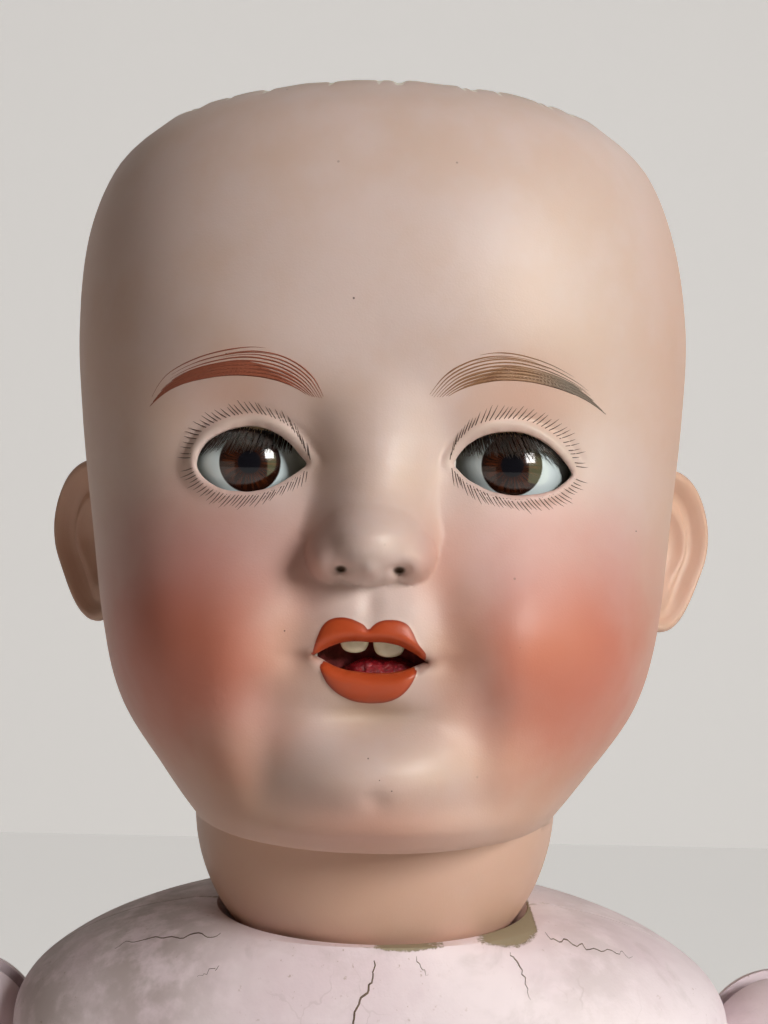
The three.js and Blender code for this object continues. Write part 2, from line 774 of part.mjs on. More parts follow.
// Where a thigh goes in its socket: how far it is bent, and how far turned out.
const hipPoses = [
  [leg.swingBack, -leg.turn], [leg.swingBack, 0], [0, 0], [-0.2 * leg.swing, 0],
  [-0.4 * leg.swing, 0], [-0.6 * leg.swing, 0], [-0.8 * leg.swing, 0], [-leg.swing, 0],
  [-0.65 * leg.swing, leg.turn], [-leg.swing, leg.turn],
];

function makeTorso() {
  const cupCentre = neckHeight + torso.cupLift;
  const cupRadius = head.neckBall + seat + torso.cupLift;
  const at = (x, y, z) => (made) => made.translate([x, y, z]);
  const atHip = at(torso.hipSpread, torso.hipSet, hipHeight);
  const atShoulder = at(shoulderSpread, torso.shoulderSet, shoulderHeight);
  const atNeck = at(0, 0, cupCentre);
  const both = (made) => [made, made.mirror([1, 0, 0])];
  const neckReach = cupRadius + torso.cupWall + overrun;
  const hipReach = leg.hipBall + torso.cupWall + overrun;
  const shoulderReach = arm.shoulderBall + torso.cupWall + overrun;
  const cups = union([
    atNeck(ball(cupRadius + torso.cupWall)),
    ...both(atHip(ball(leg.hipBall + running + torso.cupWall))),
    ...both(atShoulder(ball(arm.shoulderBall + running + torso.cupWall))),
  ]);
  const hipCut = swept(leg.hipBall + running, 0, 3 * leg.hipBall, hipPoses).add(socket(leg.hipBall + running));
  const shoulderHole = rod(torso.cordHole, -shoulderReach, 0).rotate([0, 90, 0]);
  const cuts = union([
    torsoForm(torso.wall, 8).subtract(cups),
    atNeck(socket(cupRadius, facets.torso)),
    atNeck(rod(torso.neckHole, -neckReach, 0)),
    ...both(atHip(hipCut)),
    ...both(atHip(rod(torso.cordHole, 0, hipReach))),
    ...both(atShoulder(socket(arm.shoulderBall + running))),
    ...both(atShoulder(shoulderHole)),
  ]);
  const whole = torsoForm(0, 16).subtract(cuts);
  const size = 4 * torso.halfDepth + torsoHeight;
  const half = (side) => block(size, size, size, 0, side * (size + seat) / 2, hipHeight);
  return [
    mesh("torso_front", whole.intersect(half(-1)), composition),
    mesh("torso_back", whole.intersect(half(1)), composition),
  ];
}

// Elastic inside the body, from hook ring to hook ring.
function makeElastics() {
  const ringReach = fitting.eyeRadius + fitting.wire + seat;
  const armEnd = shoulderSpread - armHookReach - ringReach;
  const armCord = rod(elastic.radius, -armEnd, armEnd).rotate([0, 90, 0]);
  const top = neckHeight - fitting.eyeDrop - ringReach - elastic.radius;
  const low = hipHeight + legHookReach + ringReach;
  const path = (points) => new THREE.CatmullRomCurve3(points.map(([x, y, z]) => new THREE.Vector3(x, y, z)));
  const rise = top - low;
  const [x, y] = [torso.hipSpread, torso.hipSet];
  const legCord = wire(
    path([
      [x, y, low], [0.97 * x, y, low + 0.06 * rise], [0.55 * x, 0.6 * y, low + 0.5 * rise],
      [0.12 * x, 0, top - 0.05 * rise], [0, 0, top], [-0.12 * x, 0, top - 0.05 * rise],
      [-0.55 * x, 0.6 * y, low + 0.5 * rise], [-0.97 * x, y, low + 0.06 * rise], [-x, y, low],
    ]),
    elastic.radius,
    22,
  );
  return [
    mesh("arm_elastic", armCord.translate([0, torso.shoulderSet, shoulderHeight]), cord),
    mesh("leg_elastic", legCord, cord),
  ];
}

// A hook from a ring on a pin at a ball's centre, up to a ring that lies outside the ball.
function hook(reach) {
  const shank = rod(fitting.wire, fitting.eyeRadius, reach - fitting.eyeRadius, facets.wire);
  const eyelet = ring(fitting.eyeRadius, fitting.wire);
  return shank.add(eyelet).add(eyelet.translate([0, 0, reach]));
}

// A pin along X through a ball's centre, and the bore that it lies in.
const pinRadius = fitting.eyeRadius - fitting.wire - seat;

function pin(cavity, gap) {
  const half = cavity + 2 * fitting.wire + gap;
  return rod(pinRadius + gap, -half, half, facets.wire).rotate([0, 90, 0]);
}

// The hollow in a ball for the hook: a round chamber and a slot from it that the hook swings in.
function hookRoom(cavity, radius, from, to) {
  const reach = radius + overrun;
  return ball(cavity, facets.small).add(wedge(reach, from, to, 2 * elastic.bore)).add(pin(cavity, seat / 2));
}

// Arms.

const armHookReach = arm.shoulderBall + running + torso.cupWall + fitting.eyeRadius + fitting.wire + seat;
const slotMargin = 25; // a hook's slot runs on past where the hook stops

// Shares of the upper arm's length and of its radius.
const upperArmShares = [[-0.91, 0.86], [-0.75, 0.92], [-0.5, 0.98], [-0.25, 1], [-0.08, 0.98]];

function makeUpperArm() {
  const count = 6;
  const form = loft(upperArmShares, count, (down, wide) => {
    const r = wide * arm.upperRadius;
    return section(r, r, r, Math.max(down * arm.upperLength, arm.upperRim - arm.upperLength));
  });
  const elbowFlexes = steps(0, arm.flex, 4).map((a) => [-a, 0]);
  const fore = swept(arm.foreRadius + running, arm.foreRim - running, 3 * arm.foreRadius, elbowFlexes);
  const elbow = socket(arm.elbowBall + running).add(fore).translate([0, 0, -arm.upperLength]);
  // the hook comes in from the middle of the body and swings up as the arm is raised
  const room = hookRoom(arm.hookCavity, arm.shoulderBall, -slotMargin, arm.raise + slotMargin)
    .rotate([0, 0, -90])
    .rotate([0, -90, 0]);
  const bore = rod(elastic.bore, -arm.upperLength, 0, facets.wire);
  return ball(arm.shoulderBall).add(form).subtract(union([elbow, room, bore]));
}

function makeElbowBall() {
  const slotSpace = wedge(arm.elbowBall + overrun, -arm.flex - slotMargin, slotMargin, 2 * elastic.bore);
  const bore = rod(elastic.bore, -arm.elbowBall - overrun, 0, facets.wire);
  return ball(arm.elbowBall).subtract(slotSpace.add(bore));
}

const forearmShares = [[-0.945, 0.68], [-0.85, 0.72], [-0.6, 0.88], [-0.35, 0.99], [-0.1, 0.97]];

function makeForearm() {
  const form = loft(forearmShares, 6, (down, wide) => {
    const r = wide * arm.foreRadius;
    return section(r, r, r, Math.min(down * arm.foreLength, -arm.foreRim));
  });
  const wrist = socket(arm.wristBall + running).translate([0, 0, -arm.foreLength]);
  const bore = rod(elastic.bore, -arm.foreLength, 0, facets.wire);
  return form.subtract(union([socket(arm.elbowBall + running), wrist, bore]));
}

// Shares of the palm's length, half width and half thickness, from the fingers up to the wrist.
const palmShares = [[-1, 0.93, 0.7], [-0.75, 1, 0.95], [-0.4, 0.95, 1], [-0.15, 0.66, 0.95], [0, 0.5, 0.85]];
// Where each finger starts across the palm, and its length.
const fingerShares = [[-0.76, 0.86], [-0.26, 1], [0.26, 0.95], [0.76, 0.75]];

function makeFinger(length, radius) {
  const round = [[0, 0.5], [0.08, 0.85], [0.3, 0.98], [0.7, 1], [1, 1.05]];
  return loft(round, 5, (up, wide) => {
    const r = wide * radius;
    return section(r, r, r, (up - 1) * length, 0, 0, facets.wire);
  });
}

function makeHand() {
  // the palm's width runs from the front to the back, its inner side faces the body
  const palm = loft(palmShares, 6, (down, wide, thick) => {
    const w = wide * arm.palmHalfWidth;
    return section(thick * arm.palmHalfThick, w, w, down * arm.palmLength, 0, 0, facets.small);
  });
  const pieces = [ball(arm.wristBall, facets.small), palm];
  for (const [across, long] of fingerShares) {
    const finger = makeFinger(long * arm.fingerLength + arm.palmHalfThick, arm.fingerRadius);
    const y = across * arm.palmHalfWidth;
    pieces.push(finger.rotate([12 * across, 14, 0]).translate([0, y, -arm.palmLength + arm.palmHalfThick]));
  }
  const thumb = makeFinger(arm.thumbLength + arm.palmHalfThick, arm.thumbRadius).rotate([-38, 18, 0]);
  pieces.push(thumb.translate([-0.3 * arm.palmHalfThick, -0.55 * arm.palmHalfWidth, -0.3 * arm.palmLength]));
  return union(pieces);
}

// A group for one limb, placed at its joint; the right one is the mirror of the left.
function limbs(name, placement, tilt, pieces) {
  return [1, -1].map((side) => {
    const group = new THREE.Group();
    group.position.set(side * placement.x, placement.y, placement.z);
    group.rotation.y = side * tilt;
    const suffix = side > 0 ? "left" : "right";
    for (const [part, manifold, finish] of pieces) {
      group.add(mesh(`${part}_${suffix}`, side > 0 ? manifold : manifold.mirror([1, 0, 0]), finish));
    }
    return group;
  });
}

function makeArms() {
  const shoulder = new THREE.Vector3(shoulderSpread, torso.shoulderSet, shoulderHeight);
  const down = (length) => (manifold) => manifold.translate([0, 0, -length]);
  const atElbow = down(arm.upperLength);
  const atWrist = down(arm.upperLength + arm.foreLength);
  // the hook lies level, along the line between the shoulders, on a pin that runs front to back
  const armHook = hook(armHookReach).rotate([0, 0, -90]).rotate([0, arm.spread - 90, 0]);
  return limbs("arm", shoulder, -radians(arm.spread), [
    ["arm_hook", armHook, steel],
    ["arm_pin", pin(arm.hookCavity, 0).rotate([0, 0, -90]).rotate([0, -90, 0]), steel],
    ["upper_arm", makeUpperArm(), composition],
    ["elbow_ball", atElbow(makeElbowBall()), wood],
    ["forearm", atElbow(makeForearm()), composition],
    ["hand", atWrist(makeHand()), composition],
  ]);
}

// Legs.

const legHookReach = leg.hipBall + running + torso.cupWall + leg.hookRise;

// Shares of the thigh's length and of the hip ball's radius.
const thighShares = [[-0.93, 0.76], [-0.8, 0.8], [-0.55, 0.93], [-0.3, 0.99], [-0.1, 1]];

function makeThigh() {
  const form = loft(thighShares, 6, (down, wide) => {
    const r = wide * leg.hipBall;
    return section(r, r, r, Math.max(down * leg.thighLength, leg.thighRim - leg.thighLength));
  });
  const flexes = steps(0, leg.kneeFlex, 4).map((a) => [a, 0]);
  const shin = swept(leg.shinRadius + running, leg.shinRim - running, 3 * leg.shinRadius, flexes);
  const knee = socket(leg.kneeBall + running).add(shin).translate([0, 0, -leg.thighLength]);
  const room = hookRoom(leg.hookCavity, leg.hipBall, -leg.swing - slotMargin, leg.swingBack + slotMargin);
  const bore = rod(elastic.bore, -leg.thighLength, 0, facets.wire);
  return ball(leg.hipBall).add(form).subtract(union([knee, room, bore]));
}

function makeKneeBall() {
  const slotSpace = wedge(leg.kneeBall + overrun, -slotMargin, leg.kneeFlex + slotMargin, 2 * elastic.bore);
  const bore = rod(elastic.bore, -leg.kneeBall - overrun, 0, facets.wire);
  return ball(leg.kneeBall).subtract(slotSpace.add(bore));
}

// Shin and foot in one: shares of kneeHeight, of shinRadius, of the foot's front and of its back.
const shinShares = [
  [-1, 0.64, 0.93, 0.86], [-0.985, 0.7, 0.98, 0.97], [-0.92, 0.7, 0.97, 1], [-0.87, 0.66, 0.78, 0.95],
  [-0.81, 0.6, 0.4, 0.78], [-0.74, 0.64, 0.31, 0.74], [-0.6, 0.8, 0.36, 0.92], [-0.38, 0.98, 0.44, 1.1],
  [-0.2, 0.98, 0.45, 1.03], [-0.05, 0.93, 0.43, 0.98],
];

function makeShin() {
  const form = loft(shinShares, 15, (down, wide, front, back) => {
    const z = Math.max(-leg.kneeHeight, Math.min(down * leg.kneeHeight, -leg.shinRim));
    return section(wide * leg.shinRadius, front * leg.toeReach, back * leg.heelReach, z);
  });
  const toes = [];
  const toeShares = [[-0.62, 0.97, 1.15], [-0.24, 0.99, 0.9], [0.08, 0.96, 0.82], [0.36, 0.9, 0.76], [0.6, 0.82, 0.7]];
  for (const [across, ahead, big] of toeShares) {
    const r = big * leg.toeRadius;
    const toe = ball(r, facets.wire).translate([across * leg.footHalfWidth, -ahead * leg.toeReach, r - leg.kneeHeight]);
    toes.push(toe);
  }
  const bore = rod(elastic.bore, -0.6 * leg.kneeHeight, 0, facets.wire);
  return form.add(union(toes)).subtract(union([socket(leg.kneeBall + running), bore]));
}

function makeLegs() {
  const hip = new THREE.Vector3(torso.hipSpread, torso.hipSet, hipHeight);
  const atKnee = (manifold) => manifold.translate([0, 0, -leg.thighLength]);
  return limbs("leg", hip, 0, [
    ["leg_hook", hook(legHookReach), steel],
    ["leg_pin", pin(leg.hookCavity, 0), steel],
    ["thigh", makeThigh(), composition],
    ["knee_ball", atKnee(makeKneeBall()), wood],
    ["shin", atKnee(makeShin()), composition],
  ]);
}

const doll = new THREE.Group();
doll.add(makeHead(), makeFitting(), ...makeTorso(), ...makeElastics(), ...makeArms(), ...makeLegs());

export default doll;
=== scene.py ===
"""A bisque-headed toddler doll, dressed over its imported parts.

The doll stands on the floor and looks along -Y, and its own left is +X. Sizes are in millimetres
until a mesh is made. Heights on the head are measured from the centre of the ball that ends its
neck, and places on its face as X and height.
"""

import logging
import math
from collections.abc import Callable, Iterable, Sequence
from dataclasses import dataclass, field
from enum import Enum
from functools import cache

import bpy
import numpy as np
from mathutils import Matrix, Vector
from mathutils.bvhtree import BVHTree

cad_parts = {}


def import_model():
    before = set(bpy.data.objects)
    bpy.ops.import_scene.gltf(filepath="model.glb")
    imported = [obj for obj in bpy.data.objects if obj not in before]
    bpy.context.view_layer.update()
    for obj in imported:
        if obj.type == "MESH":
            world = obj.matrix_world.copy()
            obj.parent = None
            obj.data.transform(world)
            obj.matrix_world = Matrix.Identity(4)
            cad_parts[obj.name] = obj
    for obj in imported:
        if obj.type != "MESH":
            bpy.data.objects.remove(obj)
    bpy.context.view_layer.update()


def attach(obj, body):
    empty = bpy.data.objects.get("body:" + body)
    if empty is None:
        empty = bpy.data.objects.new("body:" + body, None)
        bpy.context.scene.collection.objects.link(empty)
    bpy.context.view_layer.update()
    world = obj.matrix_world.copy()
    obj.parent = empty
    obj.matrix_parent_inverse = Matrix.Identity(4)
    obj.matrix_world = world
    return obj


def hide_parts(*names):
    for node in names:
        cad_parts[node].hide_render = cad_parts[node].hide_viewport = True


log = logging.getLogger("toddler_doll")

MM = 0.001
NECK_HEIGHT = 490.0
SHOULDER = (95.0, 6.0, 433.0)
HIP = (39.0, 1.0, 262.0)
# gaps between parts that stay together and that turn in each other, and how far a cutter runs past
SEAT = 0.3
RUNNING = 0.4
OVERRUN = 6.0
Array = np.ndarray
Triple = tuple[float, float, float]
Colour = Triple
Flat = Sequence[tuple[float, float]]


class Side(Enum):
    """The doll's own left and right, as signs of X."""

    LEFT = 1
    RIGHT = -1

    @property
    def suffix(self) -> str:
        """The ending of a piece's name on this side."""
        return self.name.lower()


# Node fields


class Value:
    """A number that varies over a surface, built with shader math nodes."""

    def __init__(self, tree: bpy.types.NodeTree, source: bpy.types.NodeSocket | float) -> None:
        """Keeps the node tree that new nodes go into, and an output socket or a number."""
        self.tree = tree
        self.source = source

    def _math(self, operation: str, *others: "Value | float") -> "Value":
        """Adds one math node.

        Args:
            operation: The node's operation.
            others: The second and third inputs.

        Returns:
            The node's output.
        """
        node = self.tree.nodes.new("ShaderNodeMath")
        node.operation = operation
        for socket, item in zip(node.inputs, (self, *others)):
            source = item.source if isinstance(item, Value) else item
            if isinstance(source, (int, float)):
                socket.default_value = source
            else:
                self.tree.links.new(source, socket)
        return Value(self.tree, node.outputs[0])

    def __add__(self, other: "Value | float") -> "Value":
        """The sum."""
        return self._math("ADD", other)

    def __sub__(self, other: "Value | float") -> "Value":
        """The difference."""
        return self._math("SUBTRACT", other)

    def __rsub__(self, other: float) -> "Value":
        """The difference from a number."""
        return Value(self.tree, other)._math("SUBTRACT", self)

    def __mul__(self, other: "Value | float") -> "Value":
        """The product."""
        return self._math("MULTIPLY", other)

    def __truediv__(self, other: "Value | float") -> "Value":
        """The quotient."""
        return self._math("DIVIDE", other)

    def size(self) -> "Value":
        """The number without its sign."""
        return self._math("ABSOLUTE")

    def least(self, other: "Value | float") -> "Value":
        """The smaller of two."""
        return self._math("MINIMUM", other)

    def most(self, other: "Value | float") -> "Value":
        """The larger of two."""
        return self._math("MAXIMUM", other)

    def root(self) -> "Value":
        """The square root."""
        return self._math("SQRT")

    def bell(self) -> "Value":
        """1 where this is 0, falling as it grows either way."""
        return (self * self * -1.0)._math("EXPONENT")

    def step(self, low: float, high: float) -> "Value":
        """A smooth step.

        Args:
            low: Where the step is 0.
            high: Where the step is 1.

        Returns:
            The step, between 0 and 1.
        """
        node = self.tree.nodes.new("ShaderNodeMapRange")
        node.interpolation_type = "SMOOTHSTEP"
        node.inputs["From Min"].default_value = min(low, high)
        node.inputs["From Max"].default_value = max(low, high)
        self.tree.links.new(self.source, node.inputs["Value"])
        made = Value(self.tree, node.outputs["Result"])
        return 1.0 - made if low > high else made


class Paint:
    """A material's node tree, with the places and noises that its finish is made from."""

    def __init__(self, name: str) -> None:
        """Makes the material.

        Args:
            name: The material's name.
        """
        self.material = bpy.data.materials.new(name)
        self.material.use_nodes = True
        self.tree = self.material.node_tree
        self.shader = self.tree.nodes["Principled BSDF"]
        self.place = self.node("TexCoord").outputs["Object"]

    def node(self, kind: str, linked: dict[int | str, bpy.types.NodeSocket] | None = None,
             **settings: object) -> bpy.types.Node:
        """Adds a node.

        Args:
            kind: Its type.
            linked: The sockets that its inputs read, by the input's name or number.
            settings: Values of inputs, and of the node's own fields where a name is in lower case.

        Returns:
            The node.
        """
        made = self.tree.nodes.new(f"ShaderNode{kind}")
        for key, setting in settings.items():
            if key.islower():
                setattr(made, key, setting)
            else:
                made.inputs[key].default_value = setting
        for key, source in (linked or {}).items():
            self.tree.links.new(source, made.inputs[key])
        return made

    def set(self, **numbers: float | tuple[float, ...]) -> None:
        """Sets sockets of the shader that are the same all over, with spaces as underscores."""
        for key, number in numbers.items():
            self.shader.inputs[key.replace("_", " ")].default_value = number

    def axes(self) -> tuple[Value, Value, Value]:
        """The place on the piece: X, Y and Z in millimetres."""
        outputs = self.node("SeparateXYZ", {0: self.place}).outputs
        return tuple(Value(self.tree, socket) * 1000.0 for socket in outputs)

    def attribute(self, name: str) -> Value:
        """A number kept with the mesh's corners."""
        return Value(self.tree, self.node("Attribute", attribute_name=name).outputs["Fac"])

    def noise(self, size: float, detail: float = 3.0, rough: float = 0.5, warp: float = 0.0,
              stretch: Triple = (1.0, 1.0, 1.0)) -> Value:
        """A cloudy pattern.

        Args:
            size: The size of a cloud in millimetres.
            detail: How many finer layers it has.
            rough: How strong those are.
            warp: How much it is distorted.
            stretch: How fast it changes along each axis.

        Returns:
            The pattern, about 0.5 in the middle.
        """
        vector = self.node("Mapping", {"Vector": self.place}, Scale=stretch).outputs["Vector"]
        made = self.node("TexNoise", {"Vector": vector}, Scale=1.0 / (size * MM), Detail=detail,
                         Roughness=rough, Distortion=warp)
        return Value(self.tree, made.outputs["Fac"])

    def cells(self, size: float) -> Value:
        """The distance to scattered points, as a share of the size of a cell in millimetres."""
        made = self.node("TexVoronoi", {"Vector": self.place}, Scale=1.0 / (size * MM))
        return Value(self.tree, made.outputs["Distance"])

    def noise_over(self, *places: Value) -> Value:
        """A cloudy pattern over three numbers of its own instead of the place."""
        join = self.node("CombineXYZ", {i: value.source for i, value in enumerate(places)})
        return Value(self.tree, self.node("TexNoise", {"Vector": join.outputs[0]}, Scale=1.0).outputs["Fac"])

    def cracks(self, size: float, warp: float) -> Value:
        """The distance to the lines between cells, as a share of their size.

        Args:
            size: The size of a cell in millimetres.
            warp: How far the lines wander, as a share of it.

        Returns:
            The distance.
        """
        wander = self.node("TexNoise", {"Vector": self.place}, Scale=3.0 / (size * MM))
        add = self.node("VectorMath", {0: wander.outputs["Color"], 2: self.place}, operation="MULTIPLY_ADD")
        add.inputs[1].default_value = (size * warp * MM,) * 3
        made = self.node("TexVoronoi", {"Vector": add.outputs[0]}, feature="DISTANCE_TO_EDGE",
                         Scale=1.0 / (size * MM))
        return Value(self.tree, made.outputs["Distance"])

    def worn_edges(self) -> Value:
        """Near 0.5 on flat ground, and more on edges that stand out."""
        return Value(self.tree, self.node("NewGeometry").outputs["Pointiness"])

    def mix(self, under: "Colour | bpy.types.NodeSocket", over: "Colour | bpy.types.NodeSocket",
            share: Value | float) -> bpy.types.NodeSocket:
        """Lays one colour over another.

        Args:
            under: A colour as it is seen on a screen, 0 to 255, or a socket that gives one.
            over: The same, for the upper one.
            share: How much of the upper one shows.

        Returns:
            The colour's socket.
        """
        node = self.node("Mix", data_type="RGBA")
        sockets = [node.inputs["Factor"], *(s for s in node.inputs if s.type == "RGBA")]
        for socket, item in zip(sockets, (share, under, over)):
            source = item.source if isinstance(item, Value) else item
            if isinstance(source, tuple):
                socket.default_value = (*linear(*source), 1.0)
            elif isinstance(source, float):
                socket.default_value = source
            else:
                self.tree.links.new(source, socket)
        return next(s for s in node.outputs if s.type == "RGBA")

    def colour(self, socket: bpy.types.NodeSocket) -> None:
        """Gives the shader its colour."""
        self.tree.links.new(socket, self.shader.inputs["Base Color"])

    def roughness(self, value: Value) -> None:
        """Gives the shader a roughness that varies."""
        self.tree.links.new(value.source, self.shader.inputs["Roughness"])

    def bump(self, height: Value, depth: float) -> None:
        """Gives the shader a relief, from its height as a share of a depth in millimetres."""
        node = self.node("Bump", {"Height": height.source}, Distance=depth * MM)
        self.tree.links.new(node.outputs["Normal"], self.shader.inputs["Normal"])


def linear(red: float, green: float, blue: float) -> Colour:
    """A colour as it is seen on a screen, 0 to 255, as the shader takes it."""
    return tuple(
        v / 12.92 if v <= 0.04045 else ((v + 0.055) / 1.055) ** 2.4
        for v in (red / 255.0, green / 255.0, blue / 255.0)
    )


class Look:
    """A finish, and the material slot that it belongs to where that has another name."""

    name: str
    slot: str = ""

    def build(self, paint: Paint) -> None:
        """Builds its nodes."""
        raise NotImplementedError

    @cache
    def material(self) -> bpy.types.Material:
        """Its material, made when it is first asked for."""
        paint = Paint(self.name)
        self.build(paint)
        return paint.material


# Meshes


def make_object(name: str, points: Array, faces: Iterable[Sequence[int]], look: Look | None = None,
                crease: float = 180.0) -> bpy.types.Object:
    """Makes a mesh object from points in millimetres of the doll's frame.

    Args:
        name: The piece's name.
        points: One row of X, Y and Z for each corner.
        faces: The corners of each face.
        look: Its finish.
        crease: The angle in degrees above which an edge is shaded sharp.

    Returns:
        The object, linked into the scene.
    """
    mesh = bpy.data.meshes.new(name)
    mesh.from_pydata((np.asarray(points) * MM).tolist(), [], [list(f) for f in faces])
    mesh.polygons.foreach_set("use_smooth", [True] * len(mesh.polygons))
    if crease < 180.0:
        mesh.set_sharp_from_angle(angle=math.radians(crease))
    if look:
        mesh.materials.append(look.material())
    made = bpy.data.objects.new(name, mesh)
    bpy.context.scene.collection.objects.link(made)
    return made


def keep_numbers(piece: bpy.types.Object, **numbers: Array | float) -> None:
    """Keeps numbers with each of a mesh's corners, for its finish to read."""
    for name, values in numbers.items():
        made = piece.data.attributes.new(name, "FLOAT", "POINT")
        made.data.foreach_set("value", np.full(len(piece.data.vertices), values, np.float32))


def publish(piece: bpy.types.Object, look: Look, body: str, *nodes: str) -> None:
    """Hangs a piece on the body that it moves with, and hides the nodes that it stands for.

    Args:
        piece: The piece.
        look: Its finish; not used.
        body: The body that it moves with.
        nodes: The nodes that it replaces.
    """
    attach(piece, body)
    if nodes:
        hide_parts(*nodes)
    log.info("%s: %d faces on %s", piece.name, len(piece.data.polygons), body)


def ring_faces(rows: int, columns: int, start: int = 0) -> list[tuple[int, int, int, int]]:
    """Faces between rings of corners that close on themselves.

    Args:
        rows: How many rings.
        columns: How many corners each has.
        start: The number of the first corner.

    Returns:
        The faces, facing out where the rings run anticlockwise seen from the last one.
    """
    c = np.arange(columns)
    d = (c + 1) % columns
    quads = []
    for r in range(rows - 1):
        a, b = start + r * columns, start + (r + 1) * columns
        quads.extend(zip((a + c).tolist(), (a + d).tolist(), (b + d).tolist(), (b + c).tolist()))
    return quads


def catmull(rows: Array, t: Array) -> Array:
    """Reads a table off between its rows, along a smooth curve through them.

    Args:
        rows: The table.
        t: Where to read, in rows.

    Returns:
        One row for each t.
    """
    rows = np.asarray(rows, float)
    t = np.asarray(t, float)
    last = len(rows) - 1
    i = np.clip(np.floor(t).astype(int), 0, last - 1)
    f = (t - i)[..., None]
    a, b, c, d = (rows[np.clip(i + k, 0, last)] for k in (-1, 0, 1, 2))
    cubic = (3 * b - a - 3 * c + d) * f**3
    return 0.5 * (2 * b + (c - a) * f + (2 * a - 5 * b + 4 * c - d) * f**2 + cubic)


class Solid:
    """A closed mesh under construction, in millimetres."""

    def __init__(self, points: Array, faces: Iterable[Sequence[int]]) -> None:
        """Keeps one row of X, Y and Z for each corner, and the corners of each face."""
        self.points = np.asarray(points, float)
        self.faces = [tuple(f) for f in faces]

    @classmethod
    def stack(cls, rings: Sequence[Array]) -> "Solid":
        """Closes a stack of rings. They run anticlockwise seen from the last one."""
        rings = np.asarray(rings, float)
        rows, columns = rings.shape[:2]
        points = np.vstack([rings.reshape(-1, 3), rings[0].mean(0), rings[-1].mean(0)])
        faces = ring_faces(rows, columns)
        low, high = rows * columns, rows * columns + 1
        last = (rows - 1) * columns
        for c in range(columns):
            d = (c + 1) % columns
            faces.append((d, c, low))
            faces.append((last + c, last + d, high))
        return cls(points, faces)

    @classmethod
    def turned_from(cls, profile: Flat, sides: int = 48) -> "Solid":
        """A body turned about Z from a profile of radius and height, given upwards."""
        a = np.linspace(0, 2 * math.pi, sides, endpoint=False)
        return cls.stack([
            np.stack([r * np.cos(a), r * np.sin(a), np.full(sides, float(z))], 1) for r, z in profile
        ])

    @classmethod
    def ball(cls, radius: float, sides: int = 48) -> "Solid":
        """A ball round the origin."""
        a = np.linspace(-math.pi / 2, math.pi / 2, sides // 2 + 1)[1:-1]
        made = cls.turned_from([(radius * math.cos(v), radius * math.sin(v)) for v in a], sides)
        made.points[-2] = (0.0, 0.0, -radius)
        made.points[-1] = (0.0, 0.0, radius)
        return made

    @classmethod
    def rod(cls, radius: float, low: float, high: float, sides: int = 32) -> "Solid":
        """A round rod along Z."""
        return cls.turned_from([(radius, low), (radius, high)], sides)

    @classmethod
    def peg(cls, radius: float, low: float, high: float, chamfer: float, sides: int = 32) -> "Solid":
        """A round rod along Z with chamfered ends."""
        small = radius - chamfer
        return cls.turned_from(
            [(small, low), (radius, low + chamfer), (radius, high - chamfer), (small, high)], sides)

    @classmethod
    def block(cls, low: Sequence[float], high: Sequence[float]) -> "Solid":
        """A box between two corners."""
        (a, b, c), (d, e, f) = low, high
        base = [(a, b), (d, b), (d, e), (a, e)]
        return cls.stack([[(x, y, z) for x, y in base] for z in (c, f)])

    @classmethod
    def wedge(cls, radius: float, start: float, end: float, width: float) -> "Solid":
        """A sector of a disc across X, between angles from up towards the back."""
        a = np.radians(np.linspace(start, end, 24))
        outline = [(0.0, 0.0), *zip(radius * np.sin(a), radius * np.cos(a))]
        return cls.stack([[(x, y, z) for y, z in outline] for x in (width / 2, -width / 2)])

    @classmethod
    def tube(cls, path: Array, radius: float | Array, sides: int = 14, closed: bool = False) -> "Solid":
        """A round wire along a path.

        Args:
            path: The path's points.
            radius: The wire's radius, or one for each point.
            sides: How many sides it has.
            closed: Whether the path closes on itself.

        Returns:
            The wire.
        """
        path = np.asarray(path, float)
        along = np.gradient(path, axis=0)
        if closed:
            along = np.roll(path, -1, axis=0) - np.roll(path, 1, axis=0)
        along = along / np.linalg.norm(along, axis=1, keepdims=True)
        a = np.linspace(0, 2 * math.pi, sides, endpoint=False)
        side = np.cross(along[0], [0.31, 0.52, 0.79])
        rings = []
        for place, way, r in zip(path, along, np.broadcast_to(radius, len(path))):
            side = side - way * (side @ way)
            side = side / np.linalg.norm(side)
            other = np.cross(way, side)
            rings.append(place + r * (np.outer(np.cos(a), side) + np.outer(np.sin(a), other)))
        if not closed:
            return cls.stack(rings)
        rings.append(rings[0])
        faces = np.array(ring_faces(len(rings), sides)) % (len(path) * sides)
        return cls(np.vstack(rings[:-1]), faces.tolist())

    @classmethod
    def ring(cls, radius: float, thickness: float) -> "Solid":
        """A ring of round wire in the plane across X."""
        a = np.linspace(0, 2 * math.pi, 40, endpoint=False)
        return cls.tube(np.stack([0 * a, radius * np.sin(a), radius * np.cos(a)], 1), thickness, 16, True)

    @classmethod
    def heap(cls, solids: Sequence["Solid"]) -> "Solid":
        """Several solids side by side in one mesh."""
        faces: list[tuple[int, ...]] = []
        total = 0
        for made in solids:
            faces += [tuple(i + total for i in f) for f in made.faces]
            total += len(made.points)
        return cls(np.vstack([made.points for made in solids]), faces)

    def _combined(self, tools: Sequence["Solid"], operation: str) -> "Solid":
        """Joins or cuts with other solids.

        Args:
            tools: The other solids.
            operation: What is done with each.

        Returns:
            The solid that is left.
        """
        body = self.outward()._bench("work")
        helpers = [tool.outward()._bench("tool") for tool in tools]
        for helper in helpers:
            modifier = body.modifiers.new("work", "BOOLEAN")
            modifier.operation = operation
            modifier.solver = "MANIFOLD"
            modifier.object = helper
        return Solid._taken([body, *helpers])

    def _bench(self, name: str) -> bpy.types.Object:
        """Makes an object that is only worked on."""
        return make_object(name, self.points, self.faces)

